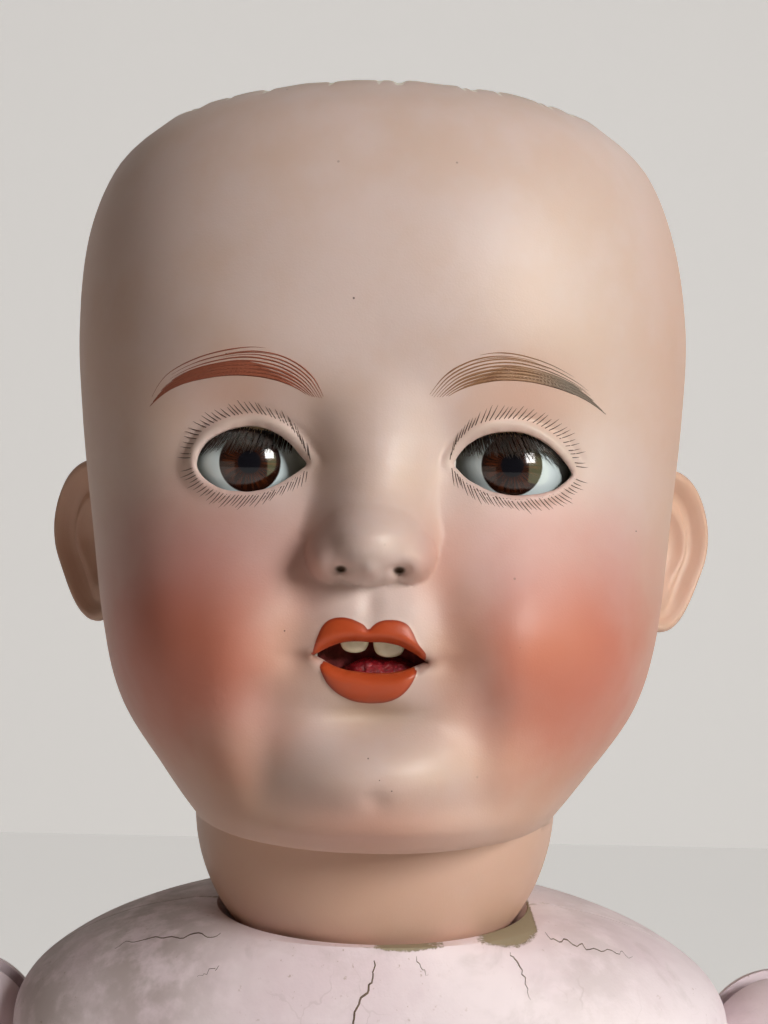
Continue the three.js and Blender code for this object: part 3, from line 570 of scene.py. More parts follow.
    @staticmethod
    def _taken(objects: Sequence[bpy.types.Object]) -> "Solid":
        """Reads the first of some objects with its modifiers, and clears them all away."""
        graph = bpy.context.evaluated_depsgraph_get()
        mesh = objects[0].evaluated_get(graph).to_mesh()
        points = np.empty(len(mesh.vertices) * 3)
        mesh.vertices.foreach_get("co", points)
        faces = [tuple(polygon.vertices) for polygon in mesh.polygons]
        for piece in objects:
            data = piece.data
            bpy.data.objects.remove(piece)
            bpy.data.meshes.remove(data)
        return Solid(points.reshape(-1, 3) / MM, faces)

    def melted(self, voxel: float, rounds: int) -> "Solid":
        """Melts its joins into each other.

        Args:
            voxel: The size of the new faces in millimetres.
            rounds: How often they are smoothed.

        Returns:
            The softened solid.
        """
        piece = self._bench("work")
        remesh = piece.modifiers.new("blend", "REMESH")
        remesh.mode = "VOXEL"
        remesh.voxel_size = voxel * MM
        smooth = piece.modifiers.new("smooth", "SMOOTH")
        smooth.iterations = rounds
        smooth.factor = 0.6
        return Solid._taken([piece])

    def outward(self) -> "Solid":
        """The same with its faces turned to the outside."""
        total = 0.0
        for count in {len(f) for f in self.faces}:
            fans = self.points[np.array([f for f in self.faces if len(f) == count])]
            for k in range(1, count - 1):
                total += np.einsum("ij,ij", fans[:, 0], np.cross(fans[:, k], fans[:, k + 1]))
        return self if total > 0 else Solid(self.points, [f[::-1] for f in self.faces])

    def cut(self, *tools: "Solid") -> "Solid":
        """What is left after cutting with each tool."""
        return self._combined(tools, "DIFFERENCE")

    def joined(self, *others: "Solid") -> "Solid":
        """One solid with the others."""
        return self._combined(others, "UNION")

    def shared(self, other: "Solid") -> "Solid":
        """What both have in common."""
        return self._combined([other], "INTERSECT")

    def turned(self, x: float = 0.0, y: float = 0.0, z: float = 0.0) -> "Solid":
        """Turned about X, then Y, then Z, in degrees."""
        made = Matrix.Identity(3)
        for angle, axis in ((x, "X"), (y, "Y"), (z, "Z")):
            made = Matrix.Rotation(math.radians(angle), 3, axis) @ made
        return Solid(self.points @ np.array(made).T, self.faces)

    def moved(self, x: float = 0.0, y: float = 0.0, z: float = 0.0) -> "Solid":
        """Moved in millimetres."""
        return Solid(self.points + np.array([x, y, z]), self.faces)

    def placed(self, side: Side) -> "Solid":
        """Mirrored if it goes on the right."""
        if side is Side.LEFT:
            return self
        return Solid(self.points * np.array([-1.0, 1.0, 1.0]), [f[::-1] for f in self.faces])

    def publish(self, name: str, look: Look, body: str, *nodes: str, crease: float = 32.0) -> None:
        """Makes the finished piece on its body, with edges above the crease angle shaded sharp."""
        publish(make_object(name, self.points, self.faces, look, crease), look, body, *nodes)


def section(width: float, front: float, back: float, z: float, sides: int = 48, power: float = 2.0) -> Array:
    """Points round a section.

    Args:
        width: Its half width.
        front: How far it reaches to the front.
        back: How far it reaches to the back.
        z: Its height.
        sides: How many points it has.
        power: 2 for an ellipse, and more for a squarer form.

    Returns:
        The points, anticlockwise seen from above.
    """
    a = np.linspace(0, 2 * math.pi, sides, endpoint=False)
    c, s = (np.sign(v) * np.abs(v) ** (2.0 / power) for v in (np.cos(a), np.sin(a)))
    return np.stack([width * c, np.where(s < 0, front, back) * s, np.full(sides, z)], 1)


def loft(rows: Sequence[Sequence[float]], count: int, to_section: Callable[..., Array]) -> Solid:
    """A stack of sections read off between the rows of a table."""
    table = catmull(np.array(rows), np.linspace(0, len(rows) - 1, count + 1))
    return Solid.stack([to_section(*row) for row in table])


def barrel(rows: Flat, count: int, radius: float, height: Callable[[float], float], sides: int) -> Solid:
    """A round limb along Z, from pairs of a place along it and a share of its radius."""
    return loft(rows, count, lambda up, wide: section(*(wide * radius,) * 3, height(up), sides))


def smooth_loop(points: Flat, count: int) -> Array:
    """An even run of points on a smooth closed curve through a few.

    Args:
        points: The points that it goes through.
        count: How many it gets.

    Returns:
        The points of the curve.
    """
    rows = np.asarray(points, float)
    padded = np.vstack([rows[-2:], rows, rows[:3]])
    dense = catmull(padded, np.linspace(2, 2 + len(rows), 12 * len(rows) + 1))
    run = np.concatenate([[0.0], np.cumsum(np.linalg.norm(np.diff(dense, axis=0), axis=1))])
    even = np.linspace(0, run[-1], count, endpoint=False)
    return np.stack([np.interp(even, run, dense[:, k]) for k in range(2)], 1)


def inside_loop(places: Array, loop: Array) -> tuple[Array, Array]:
    """How far places in a plane are inside a loop, and the loop's nearest points.

    Args:
        places: The places.
        loop: The loop's points.

    Returns:
        The distances, less than 0 outside, and the nearest points.
    """
    gap = np.full(len(places), np.inf)
    nearest = np.zeros_like(places)
    inside = np.zeros(len(places), bool)
    for start, end in zip(loop, np.roll(loop, -1, axis=0)):
        way = end - start
        t = np.clip(((places - start) @ way) / (way @ way + 1e-12), 0.0, 1.0)
        foot = start + t[:, None] * way
        apart = np.hypot(*(places - foot).T)
        closer = apart < gap
        gap[closer] = apart[closer]
        nearest[closer] = foot[closer]
        rise = way[1] if abs(way[1]) > 1e-9 else 1e-9
        level = (places[:, 1] - start[1]) / rise
        crossed = (start[1] > places[:, 1]) != (end[1] > places[:, 1])
        inside ^= crossed & (places[:, 0] < start[0] + way[0] * level)
    return np.where(inside, gap, -gap), nearest


# Head


def bell(place: Array) -> Array:
    """1 where a number is 0, falling as it grows either way."""
    return np.exp(-(place**2))


def blend_out(surface: Array, shape: Array, soft: float) -> Array:
    """Joins how far a shape reaches forward to how far a surface does, with a soft fillet."""
    h = np.clip(0.5 + 0.5 * (shape - surface) / soft, 0.0, 1.0)
    return surface + (shape - surface) * h + soft * h * (1.0 - h)


@dataclass(frozen=True)
class Swell:
    """A soft rise or dip of the face."""

    x: float
    z: float
    rise: float
    wide: float
    above: float
    below: float
    paired: bool = False
    power: float = 1.0

    def height(self, x: Array, z: Array) -> Array:
        """How far it moves the face forward.

        Args:
            x: Places across the face.
            z: Heights.

        Returns:
            The rise at each place.
        """
        across = (np.abs(x) if self.paired else x) - self.x
        up = z - self.z
        tall = np.where(up > 0, self.above, self.below)
        return self.rise * np.exp(-(((across / self.wide) ** 2 + (up / tall) ** 2) ** self.power))


@dataclass(frozen=True)
class Lobe:
    """A rounded form, part of an ellipsoid, that stands out of the face."""

    x: float
    z: float
    wide: float
    tall: float
    seat: float
    peak: float
    soft: float
    paired: bool = False

    def join(self, reach: Array, x: Array, z: Array) -> Array:
        """Joins the form to the face.

        Args:
            reach: How far forward the face is.
            x: Places across it.
            z: Heights.

        Returns:
            How far forward it is with this form.
        """
        across = (np.abs(x) if self.paired else x) - self.x
        q = (across / self.wide) ** 2 + ((z - self.z) / self.tall) ** 2
        form = self.seat + (self.peak - self.seat) * np.clip(1.0 - q, 0.0, 1.0) ** 0.6
        form = form - 9.0 * np.clip(q - 1.0, 0.0, None)
        return blend_out(reach, form, self.soft)


EYE_OPENINGS: dict[Side, Flat] = {
    Side.RIGHT: (
        (-12.7, 74.6), (-14.2, 76.6), (-16.0, 78.6), (-18.0, 80.1), (-20.1, 81.1), (-22.1, 81.6),
        (-23.7, 81.7), (-25.7, 81.4), (-27.7, 80.9), (-29.7, 80.0), (-31.5, 78.9), (-32.8, 77.5),
        (-33.6, 75.9), (-33.9, 73.9), (-32.9, 72.1), (-31.5, 70.9), (-29.5, 69.8), (-27.4, 69.2),
        (-25.4, 69.1), (-23.8, 69.0), (-21.8, 69.3), (-19.8, 69.8), (-17.8, 70.7), (-15.9, 71.9),
        (-14.1, 73.2),
    ),
    Side.LEFT: (
        (14.1, 75.2), (15.7, 77.9), (17.5, 79.5), (19.5, 80.6), (21.5, 81.2), (23.5, 81.5),
        (25.1, 81.6), (27.1, 81.4), (28.7, 80.9), (30.7, 80.0), (32.8, 78.6), (34.5, 77.1),
        (36.1, 75.3), (36.9, 73.6), (35.2, 71.8), (33.4, 70.6), (30.9, 69.8), (28.9, 69.5),
        (26.8, 69.3), (24.8, 69.3), (22.8, 69.6), (20.8, 70.1), (18.8, 71.0), (16.8, 72.1),
        (15.2, 73.6),
    ),
}
MOUTH_OPENING: Flat = (
    (-11.1, 39.8), (-9.9, 40.8), (-8.1, 41.8), (-6.2, 42.6), (-4.2, 43.0), (-2.3, 43.1),
    (-0.5, 43.0), (1.6, 43.0), (3.3, 42.8), (5.0, 42.4), (6.7, 41.6), (8.5, 40.5), (10.4, 39.0),
    (9.2, 38.3), (7.7, 37.6), (5.4, 36.9), (3.4, 36.5), (1.4, 36.4), (-0.7, 36.4), (-2.7, 36.6),
    (-4.8, 36.9), (-6.9, 37.5), (-9.2, 38.6),
)
UPPER_LIP: Flat = (
    (-11.0, 39.9), (-10.7, 40.9), (-10.0, 43.2), (-9.2, 45.1), (-8.1, 46.3), (-6.7, 46.9),
    (-5.4, 47.0), (-4.0, 46.8), (-2.6, 46.3), (-1.5, 45.7), (-0.7, 44.9), (0.1, 45.7), (1.2, 46.4),
    (2.5, 46.7), (4.1, 46.7), (5.4, 46.4), (6.5, 45.7), (7.3, 44.5), (8.2, 42.6), (9.8, 40.3),
    (8.6, 39.0), (5.0, 40.0), (-0.4, 40.7), (-5.7, 40.0), (-9.0, 39.4),
)
LOWER_LIP: Flat = (
    (-9.3, 38.4), (-9.0, 36.7), (-8.1, 35.0), (-6.8, 33.6), (-5.2, 32.5), (-3.4, 31.7), (-1.3, 31.3),
    (0.8, 31.3), (2.8, 31.6), (4.5, 32.3), (6.0, 33.5), (7.0, 34.8), (7.7, 36.2), (8.0, 37.7),
    (5.4, 38.5), (-0.3, 38.0), (-6.6, 38.9),
)


@dataclass
class HeadForm:
    """The outer surface of the bisque head."""

    crown: float = 150.0
    half_width: float = 66.6
    face: float = 71.5
    skull: float = 87.5
    neck_ball: float = 40.0
    neck_hole: float = 15.0
    power: float = 2.3
    skull_share: float = 0.84
    eye_spread: float = 24.9
    eye_height: float = 74.5
    eye_forward: float = 49.5
    lid_reach: float = 14.4
    nose_shift: float = 0.6

    front: Array = field(default_factory=lambda: np.array([
        [0.995, 0.7], [0.947, 0.84], [0.847, 0.95], [0.72, 1], [0.587, 0.972], [0.453, 0.944],
        [0.293, 0.958], [0.18, 0.93], [0.087, 0.923], [0.017, 0.825], [0.017, 0.58],
    ]))
    side: Array = field(default_factory=lambda: np.array([
        [0.965, 0.775], [0.907, 0.892], [0.813, 0.966], [0.693, 0.994], [0.573, 0.984],
        [0.44, 0.954], [0.28, 0.905], [0.173, 0.84], [0.083, 0.705], [0.023, 0.605], [-0.007, 0.6],
    ]))
    back: Array = field(default_factory=lambda: np.array([
        [0.9, 0.7], [0.84, 0.81], [0.75, 0.9], [0.65, 0.945], [0.53, 0.96], [0.4, 0.9],
        [0.28, 0.77], [0.18, 0.64], [0.093, 0.55], [0.033, 0.505], [0, 0.49],
    ]))
    # height, and how far the sides lie over to the doll's left there
    lean: Array = field(default_factory=lambda: np.array([
        [-10, 0.0], [5, 0.6], [15, 1.0], [40, 1.1], [70, 0.3], [105, 0.0], [125, -0.7], [145, -1.0],
    ]))
    swells: tuple[Swell, ...] = (
        Swell(0.0, 41.0, 3.6, 17.0, 12.0, 13.0),  # muzzle
        Swell(24.9, 80.0, -3.8, 14.5, 9.0, 11.5, True),  # eye socket
        Swell(13.0, 77.0, -2.8, 5.5, 8.0, 9.0, True),  # inner corner of the socket
        Swell(26.0, 97.0, 0.9, 17.0, 7.0, 6.0, True),  # brow
        Swell(40.0, 40.0, 7.8, 19.0, 20.0, 20.0, True),  # cheek
        Swell(25.0, 40.0, 2.4, 7.5, 15.0, 16.0, True),  # inner slope of the cheek
        Swell(12.4, 49.5, -1.2, 4.2, 5.5, 6.0, True),  # fold from the nose's wing
        Swell(15.0, 40.5, -1.3, 4.4, 5.5, 5.5, True),  # fold beside the mouth
        Swell(19.5, 30.5, -1.5, 5.4, 6.5, 8.0, True),  # fold down to the jaw
        Swell(0.4, 28.2, -4.0, 9.5, 3.2, 3.6),  # crease under the lip
        Swell(0.4, 18.4, 8.4, 17.0, 8.4, 7.8, False, 1.15),  # chin
        Swell(0.4, 6.4, 4.6, 28.0, 6.0, 5.0, False, 1.3),  # roll under the chin
        Swell(20.0, 18.0, -0.7, 4.0, 8.0, 7.0, True),  # the chin's sides
        Swell(27.0, 15.0, 1.4, 7.0, 11.0, 9.0, True),  # jowl
        Swell(1.2, 14.8, -0.9, 2.6, 1.8, 2.4),  # dimple
        Swell(0.0, 5.2, -1.3, 25.0, 1.8, 2.2),  # fold under the chin
    )
    nose: tuple[Lobe, ...] = (
        Lobe(0.0, 60.2, 9.8, 7.6, 67.0, 81.6, 5.5),  # tip
        Lobe(7.4, 58.2, 4.5, 5.3, 66.0, 76.6, 3.4, True),  # wing
        Lobe(0.0, 56.4, 3.4, 3.6, 68.0, 78.6, 3.4),  # between the nostrils
    )
    dents: tuple[Swell, ...] = (
        Swell(5.2, 55.7, -3.8, 1.5, 0.8, 1.0, True),  # nostril
        Swell(0.0, 49.0, -0.8, 1.9, 3.4, 3.0),  # groove under the nose
        Swell(13.2, 39.2, -0.5, 2.8, 1.2, 2.2, True),  # corner of the mouth
    )

    def bare(self, azimuth: Array, share: Array) -> Array:
        """The skull and neck without a face.

        Args:
            azimuth: Angles round the neck axis, 0 at the front.
            share: How far down a meridian, 0 at the cut crown and 1 at the neck hole.

        Returns:
            Points, in millimetres from the centre of the neck ball.
        """
        t = np.minimum(share / self.skull_share, 1.0) * (len(self.front) - 1)
        front, side, back = (catmull(rows, t) for rows in (self.front, self.side, self.back))
        c, s = np.cos(azimuth), np.sin(azimuth)
        ahead = c >= 0
        fore = np.where(ahead[..., None], front, back)
        fore_reach = fore[..., 1] * np.where(ahead, self.face, self.skull)
        side_reach = side[..., 1] * self.half_width
        inverse = np.abs(c / fore_reach) ** self.power + np.abs(s / side_reach) ** self.power
        r = inverse ** (-1.0 / self.power)
        z = self.crown * (fore[..., 0] * c * c + side[..., 0] * s * s)
        u = np.clip((share - self.skull_share) / (1.0 - self.skull_share), 0.0, 1.0)
        top = np.arcsin(np.clip(z / self.neck_ball, -1.0, 1.0))
        a = top - u * (math.acos(self.neck_hole / self.neck_ball) + top)
        ball = self.neck_ball * np.cos(a) + (r - self.neck_ball * np.cos(top)) * (1.0 - u) ** 4
        low = share > self.skull_share
        r = np.where(low, ball, r)
        z = np.where(low, self.neck_ball * np.sin(a), z)
        across = r * s
        lean = np.interp(z, self.lean[:, 0], self.lean[:, 1])
        across = across + lean * (across / self.half_width) ** 2
        return np.stack([across, -r * c, z], axis=-1)

    def ridge(self, reach: Array, x: Array, z: Array) -> Array:
        """Joins the bridge of the nose to the face."""
        heights = np.array([50.0, 58.0, 62.0, 66.0, 70.0, 75.0, 80.0, 86.0, 94.0, 104.0])
        crest = np.array([50.0, 76.0, 78.0, 75.8, 72.8, 70.4, 69.2, 68.4, 66.0, 50.0])
        breadth = np.array([6.0, 6.0, 5.8, 5.5, 5.5, 5.8, 7.6, 11.0, 15.0, 15.0])
        form = np.interp(z, heights, crest) - x**2 / (2.0 * np.interp(z, heights, breadth))
        return blend_out(reach, form, 5.0)

    def lids(self, reach: Array, x: Array, z: Array) -> Array:
        """Stretches the bisque over the eyeballs."""
        across = np.abs(x) - self.eye_spread
        up = z - self.eye_height
        inside = self.lid_reach**2 - across**2 - up**2
        form = self.eye_forward + np.sqrt(np.clip(inside, 0.0, None))
        form = np.where(inside > 0, form, -50.0)
        return blend_out(reach, form, 2.2)

    def relief(self, reach: Array, x: Array, z: Array) -> Array:
        """Adds the face to the bare front.

        Args:
            reach: How far forward the bare skull is.
            x: Places across the face.
            z: Heights.

        Returns:
            How far forward the face is.
        """
        for swell in self.swells:
            reach = reach + swell.height(x, z)
        nose_x = x + self.nose_shift * np.clip((74.0 - z) / 8.0, 0.0, 1.0)
        reach = self.ridge(reach, nose_x, z)
        for lobe in self.nose:
            reach = lobe.join(reach, nose_x, z)
        for dent in self.dents:
            reach = reach + dent.height(nose_x, z)
        return self.lids(reach, x, z)

    def points(self, azimuth: Array, share: Array, fine: bool = True) -> Array:
        """The finished outer surface.

        Args:
            azimuth: Angles round the neck axis.
            share: How far down a meridian.
            fine: Whether it has the nose and the lids.

        Returns:
            Points, in millimetres from the centre of the neck ball.
        """
        p = self.bare(azimuth, share)
        c = np.cos(azimuth)
        fade = np.clip(c * 2.0, 0.0, 1.0)
        fade = fade * fade * (3.0 - 2.0 * fade)
        x, y, z = p[..., 0], p[..., 1], p[..., 2]
        full = self.relief(-y, x, z) if fine else sum((w.height(x, z) for w in self.swells), -y)
        face = (c > 0) & (share < self.skull_share)
        p[..., 1] = np.where(face, y - (full + y) * fade, y)
        return p

    def rows(self) -> Array:
        """Shares down a meridian, close together over the face."""
        t = np.linspace(0, 9, 2000)
        z = self.crown * catmull(self.front, t)[:, 0]
        spans = ((149.2, 104, 1.7), (104, 64, 0.65), (64, 30, 0.45), (30, 2.7, 0.8))
        heights = np.concatenate([np.arange(top, low, -gap) for top, low, gap in spans])
        shares = np.interp(-heights, -z, t) / (len(self.front) - 1) * self.skull_share
        shares[0] = 0.0
        under = np.linspace(shares[-1], self.skull_share, 14)[1:]
        neck = np.linspace(self.skull_share, 1.0, 36)[1:]
        return np.concatenate([shares, under, neck])

    def columns(self) -> Array:
        """Azimuths all round, close together over the face."""
        spans = ((0, 42, 0.36), (42, 78, 0.85), (78, 180, 1.8))
        half = np.concatenate([np.arange(low, high, gap) for low, high, gap in spans] + [[180.0]])
        return np.radians(np.concatenate([half, -half[1:-1][::-1]]))


@dataclass(frozen=True)
class BisqueFinish(Look):
    """Flesh-tinted bisque with fired blush and lips, and painted shade in its folds, in the crease under the
    lip, in the nostrils and at the corners of the mouth.
    """

    skin: Colour = (216, 195, 187)
    tan: Colour = (212, 186, 172)
    warm: Colour = (210, 162, 132)
    blush: Colour = (196, 102, 74)
    pink: Colour = (204, 138, 130)
    lips: Colour = (186, 76, 36)
    lip_edge: Colour = (150, 52, 26)
    band: Colour = (210, 190, 178)
    # painted shade in the crease under the lip
    lip_crease_shade: Colour = (164, 136, 104)
    # painted shade at the corners of the mouth
    mouth_corner_shade: Colour = (124, 76, 56)
    russet: Colour = (156, 104, 80)
    raw: Colour = (236, 229, 218)
    specks: tuple[Triple, ...] = (
        (-4.5, 104.2, 0.2), (-27.8, 94.3, 0.14), (-15.9, 44.2, 0.15), (50.6, 63.2, 0.14),
        (-0.3, 22.2, 0.13), (1.8, 18.6, 0.11), (4.0, 16.6, 0.13),
    )
    name = "bisque"

    def build(self, paint: Paint) -> None:
        """Builds its nodes.

        Args:
            paint: The material's nodes.
        """
        x, y, world_z = paint.axes()
        z = world_z - NECK_HEIGHT
        ahead = y.step(-5.0, -30.0)
        mottle = paint.noise(22.0, 4.0, 0.55)
        skin = paint.mix(self.skin, self.tan, mottle.step(0.35, 0.7))
        across = x.size()
        cloud = (paint.noise(14.0, 3.0) - 0.5) * 0.35
        jaw = z.step(26.0, 0.0).most(z.step(38.0, 12.0) * across.step(10.0, 26.0))
        sides = across.step(44.0, 66.0).most(jaw) * 0.6
        skin = paint.mix(skin, self.warm, sides)
        wide = (across - 37.0) / 29.0
        tall = (z - 41.0) / 32.0
        cheek = ((wide * wide + tall * tall).root() + cloud).step(1.2, 0.2) * ahead * 0.86
        warm = paint.mix(skin, paint.mix(self.blush, self.pink, z.step(40.0, 66.0)), cheek)
        for tint, out, middle, wide, height, tall, strength in (
            ((226, 140, 92), across, 27.0, 11.0, 88.0, 7.0, 0.22),  # lid
            (self.blush, x, 0.0, 17.0, 9.0, 7.0, 0.3),  # under the chin
            (self.blush, across, 12.0, 5.0, 56.0, 9.0, 0.3),  # beside the nose
            (self.pink, across, 27.0, 16.0, 62.0, 9.0, 0.34),  # under the eye
            # painted shade in the fold beside the mouth
            (self.warm, across, 15.0, 4.5, 39.0, 12.0, 0.34),  # fold beside the mouth
            (self.russet, x, 14.5, 4.0, 39.0, 11.0, 0.42),  # shade on the left one
            # painted shade in the crease under the lip
            (self.lip_crease_shade, x, 0.0, 8.0, 29.2, 2.4, 0.5),  # crease under the lip
        ):
            spot = ((out - middle) / wide).bell() * ((z - height) / tall).bell() * ahead
            warm = paint.mix(warm, tint, spot * strength)
        # painted shade at the corners of the mouth, over the pinch of the lip's edge there that would catch
        # the light
        corner = (((x + 0.5).size() - 10.6) / 2.0).bell() * ((z + x * 0.04 - 39.4) / 1.2).bell()
        warm = paint.mix(warm, self.mouth_corner_shade, corner * ahead * 0.75)
        warm = paint.mix(warm, self.band, paint.attribute("rim").step(0.2, 0.9) * 0.6)
        # painted shade: dark brown in the deepest part of each nostril's dimple
        hole = (((x + 0.6).size() - 5.2) / 1.3).bell() * ((z - 55.7) / 0.85).bell() * y.step(-66.0, -70.0)
        warm = paint.mix(warm, (70, 52, 36), hole.step(0.3, 0.85))
        edge = paint.attribute("lips")
        smear = (paint.noise(1.3, 2.0) - 0.5) * 0.25
        red = paint.mix(self.lips, self.lip_edge, (edge + smear).step(0.7, 0.0))
        red = paint.mix(red, (184, 84, 52), paint.noise(3.0, 3.0).step(0.5, 0.75) * 0.35)
        warm = paint.mix(warm, red, (edge + smear * 0.3).step(-0.06, 0.1))
        for place_x, place_z, radius in self.specks:
            dx, dz = x - place_x, z - place_z
            gap = (dx * dx + dz * dz).root()
            warm = paint.mix(warm, (58, 42, 36), gap.step(radius * 1.3, radius * 0.6) * ahead * 0.85)
        dust = paint.cells(9.0).step(0.035, 0.02) * paint.noise(60.0).step(0.45, 0.6)
        warm = paint.mix(warm, (96, 74, 64), dust * 0.5)
        bare = paint.attribute("raw").step(0.35, 0.65)
        paint.colour(paint.mix(warm, self.raw, bare))
        gloss = edge.step(-0.05, 0.3)
        paint.roughness(paint.noise(5.0, 4.0) * 0.1 + 0.43 - gloss * 0.08 + bare * 0.3)
        grain = paint.noise(0.35, 2.0) * 0.5 + paint.noise(2.2, 3.0) * 0.5
        paint.bump(grain, 0.05)
        paint.set(Specular_IOR_Level=0.42, Subsurface_Weight=0.06, Subsurface_Scale=0.004)
        paint.set(Subsurface_Radius=(1.0, 0.45, 0.3))


BISQUE = BisqueFinish()


class Opening:
    """A hole cut in the face, with its rolled edge."""

    def __init__(self, outline: Flat, steps: Flat) -> None:
        """Keeps its outline, and how far each ring of its edge is drawn in and lies back."""
        self.loop = smooth_loop(outline, 160)
        self.steps = steps

    def pierce(self, points: Array, faces: Array, normals: Array) -> tuple[Array, Array]:
        """Opens the hole in a surface.

        Args:
            points: The surface's corners, some of which are moved onto the hole's edge.
            faces: Its faces.
            normals: Its normals at the corners.

        Returns:
            The faces that are left, and the corners round the hole in order.
        """
        low, high = self.loop.min(axis=0) - 4.0, self.loop.max(axis=0) + 4.0
        flat = points[:, [0, 2]]
        near = np.flatnonzero((points[:, 1] < -20) & np.all((flat > low) & (flat < high), axis=1))
        depth = np.full(len(points), -9.0)
        depth[near], nearest = inside_loop(flat[near], self.loop)
        gone = depth[faces].mean(axis=1) > 0
        for _ in range(4):
            ring, pinched = self._ordered(faces[~gone], np.intersect1d(faces[gone], faces[~gone]))
            if not pinched:
                break
            gone |= np.isin(faces, pinched).any(axis=1)
        shift = nearest[np.searchsorted(near, ring)] - flat[ring]
        n = normals[ring]
        points[ring, 1] -= (n[:, 0] * shift[:, 0] + n[:, 2] * shift[:, 1]) / np.minimum(n[:, 1], -0.3)
        points[ring, 0] += shift[:, 0]
        points[ring, 2] += shift[:, 1]
        return faces[~gone], ring

    @staticmethod
    def _ordered(faces: Array, border: Array) -> tuple[Array, list[int]]:
        """Puts the corners round the hole in order.

        Args:
            faces: The faces that are left.
            border: The corners of the hole's edge.

        Returns:
            The corners in order, and those where the edge meets itself.
        """
        close = faces[np.isin(faces, border).sum(axis=1) >= 2].tolist()
        edges = {(a, b) for f in close for a, b in zip(f, f[1:] + f[:1])}
        kept = set(border.tolist())
        follows: dict[int, int] = {}
        pinched = []
        for a, b in edges:
            if a in kept and b in kept and (b, a) not in edges:
                if a in follows:
                    pinched.append(a)
                follows[a] = b
        start = next(iter(follows))
        ring = [start]
        while follows[ring[-1]] != start and len(ring) <= len(follows):
            ring.append(follows[ring[-1]])
        return np.array(ring), pinched

    def edge(self, ring: Array, first: int) -> tuple[Array, list[tuple[int, ...]]]:
        """The rolled edge of the hole.

        Args:
            ring: The places of the corners round the hole, in order.
            first: The number that its first new corner will have.

        Returns:
            The new corners, and the faces between the new rings.
        """
        along = np.roll(ring, -1, axis=0) - np.roll(ring, 1, axis=0)
        inward = np.stack([along[:, 2], -along[:, 0]], axis=1)
        inward /= np.linalg.norm(inward, axis=1, keepdims=True) + 1e-9
        rings = []
        for inset, back in self.steps:
            moved = ring.copy()
            moved[:, 0] += inward[:, 0] * inset
            moved[:, 2] += inward[:, 1] * inset
            moved[:, 1] += back
            rings.append(moved)
        between = [f[::-1] for f in ring_faces(len(rings), len(ring), first)]
        return np.vstack(rings), between


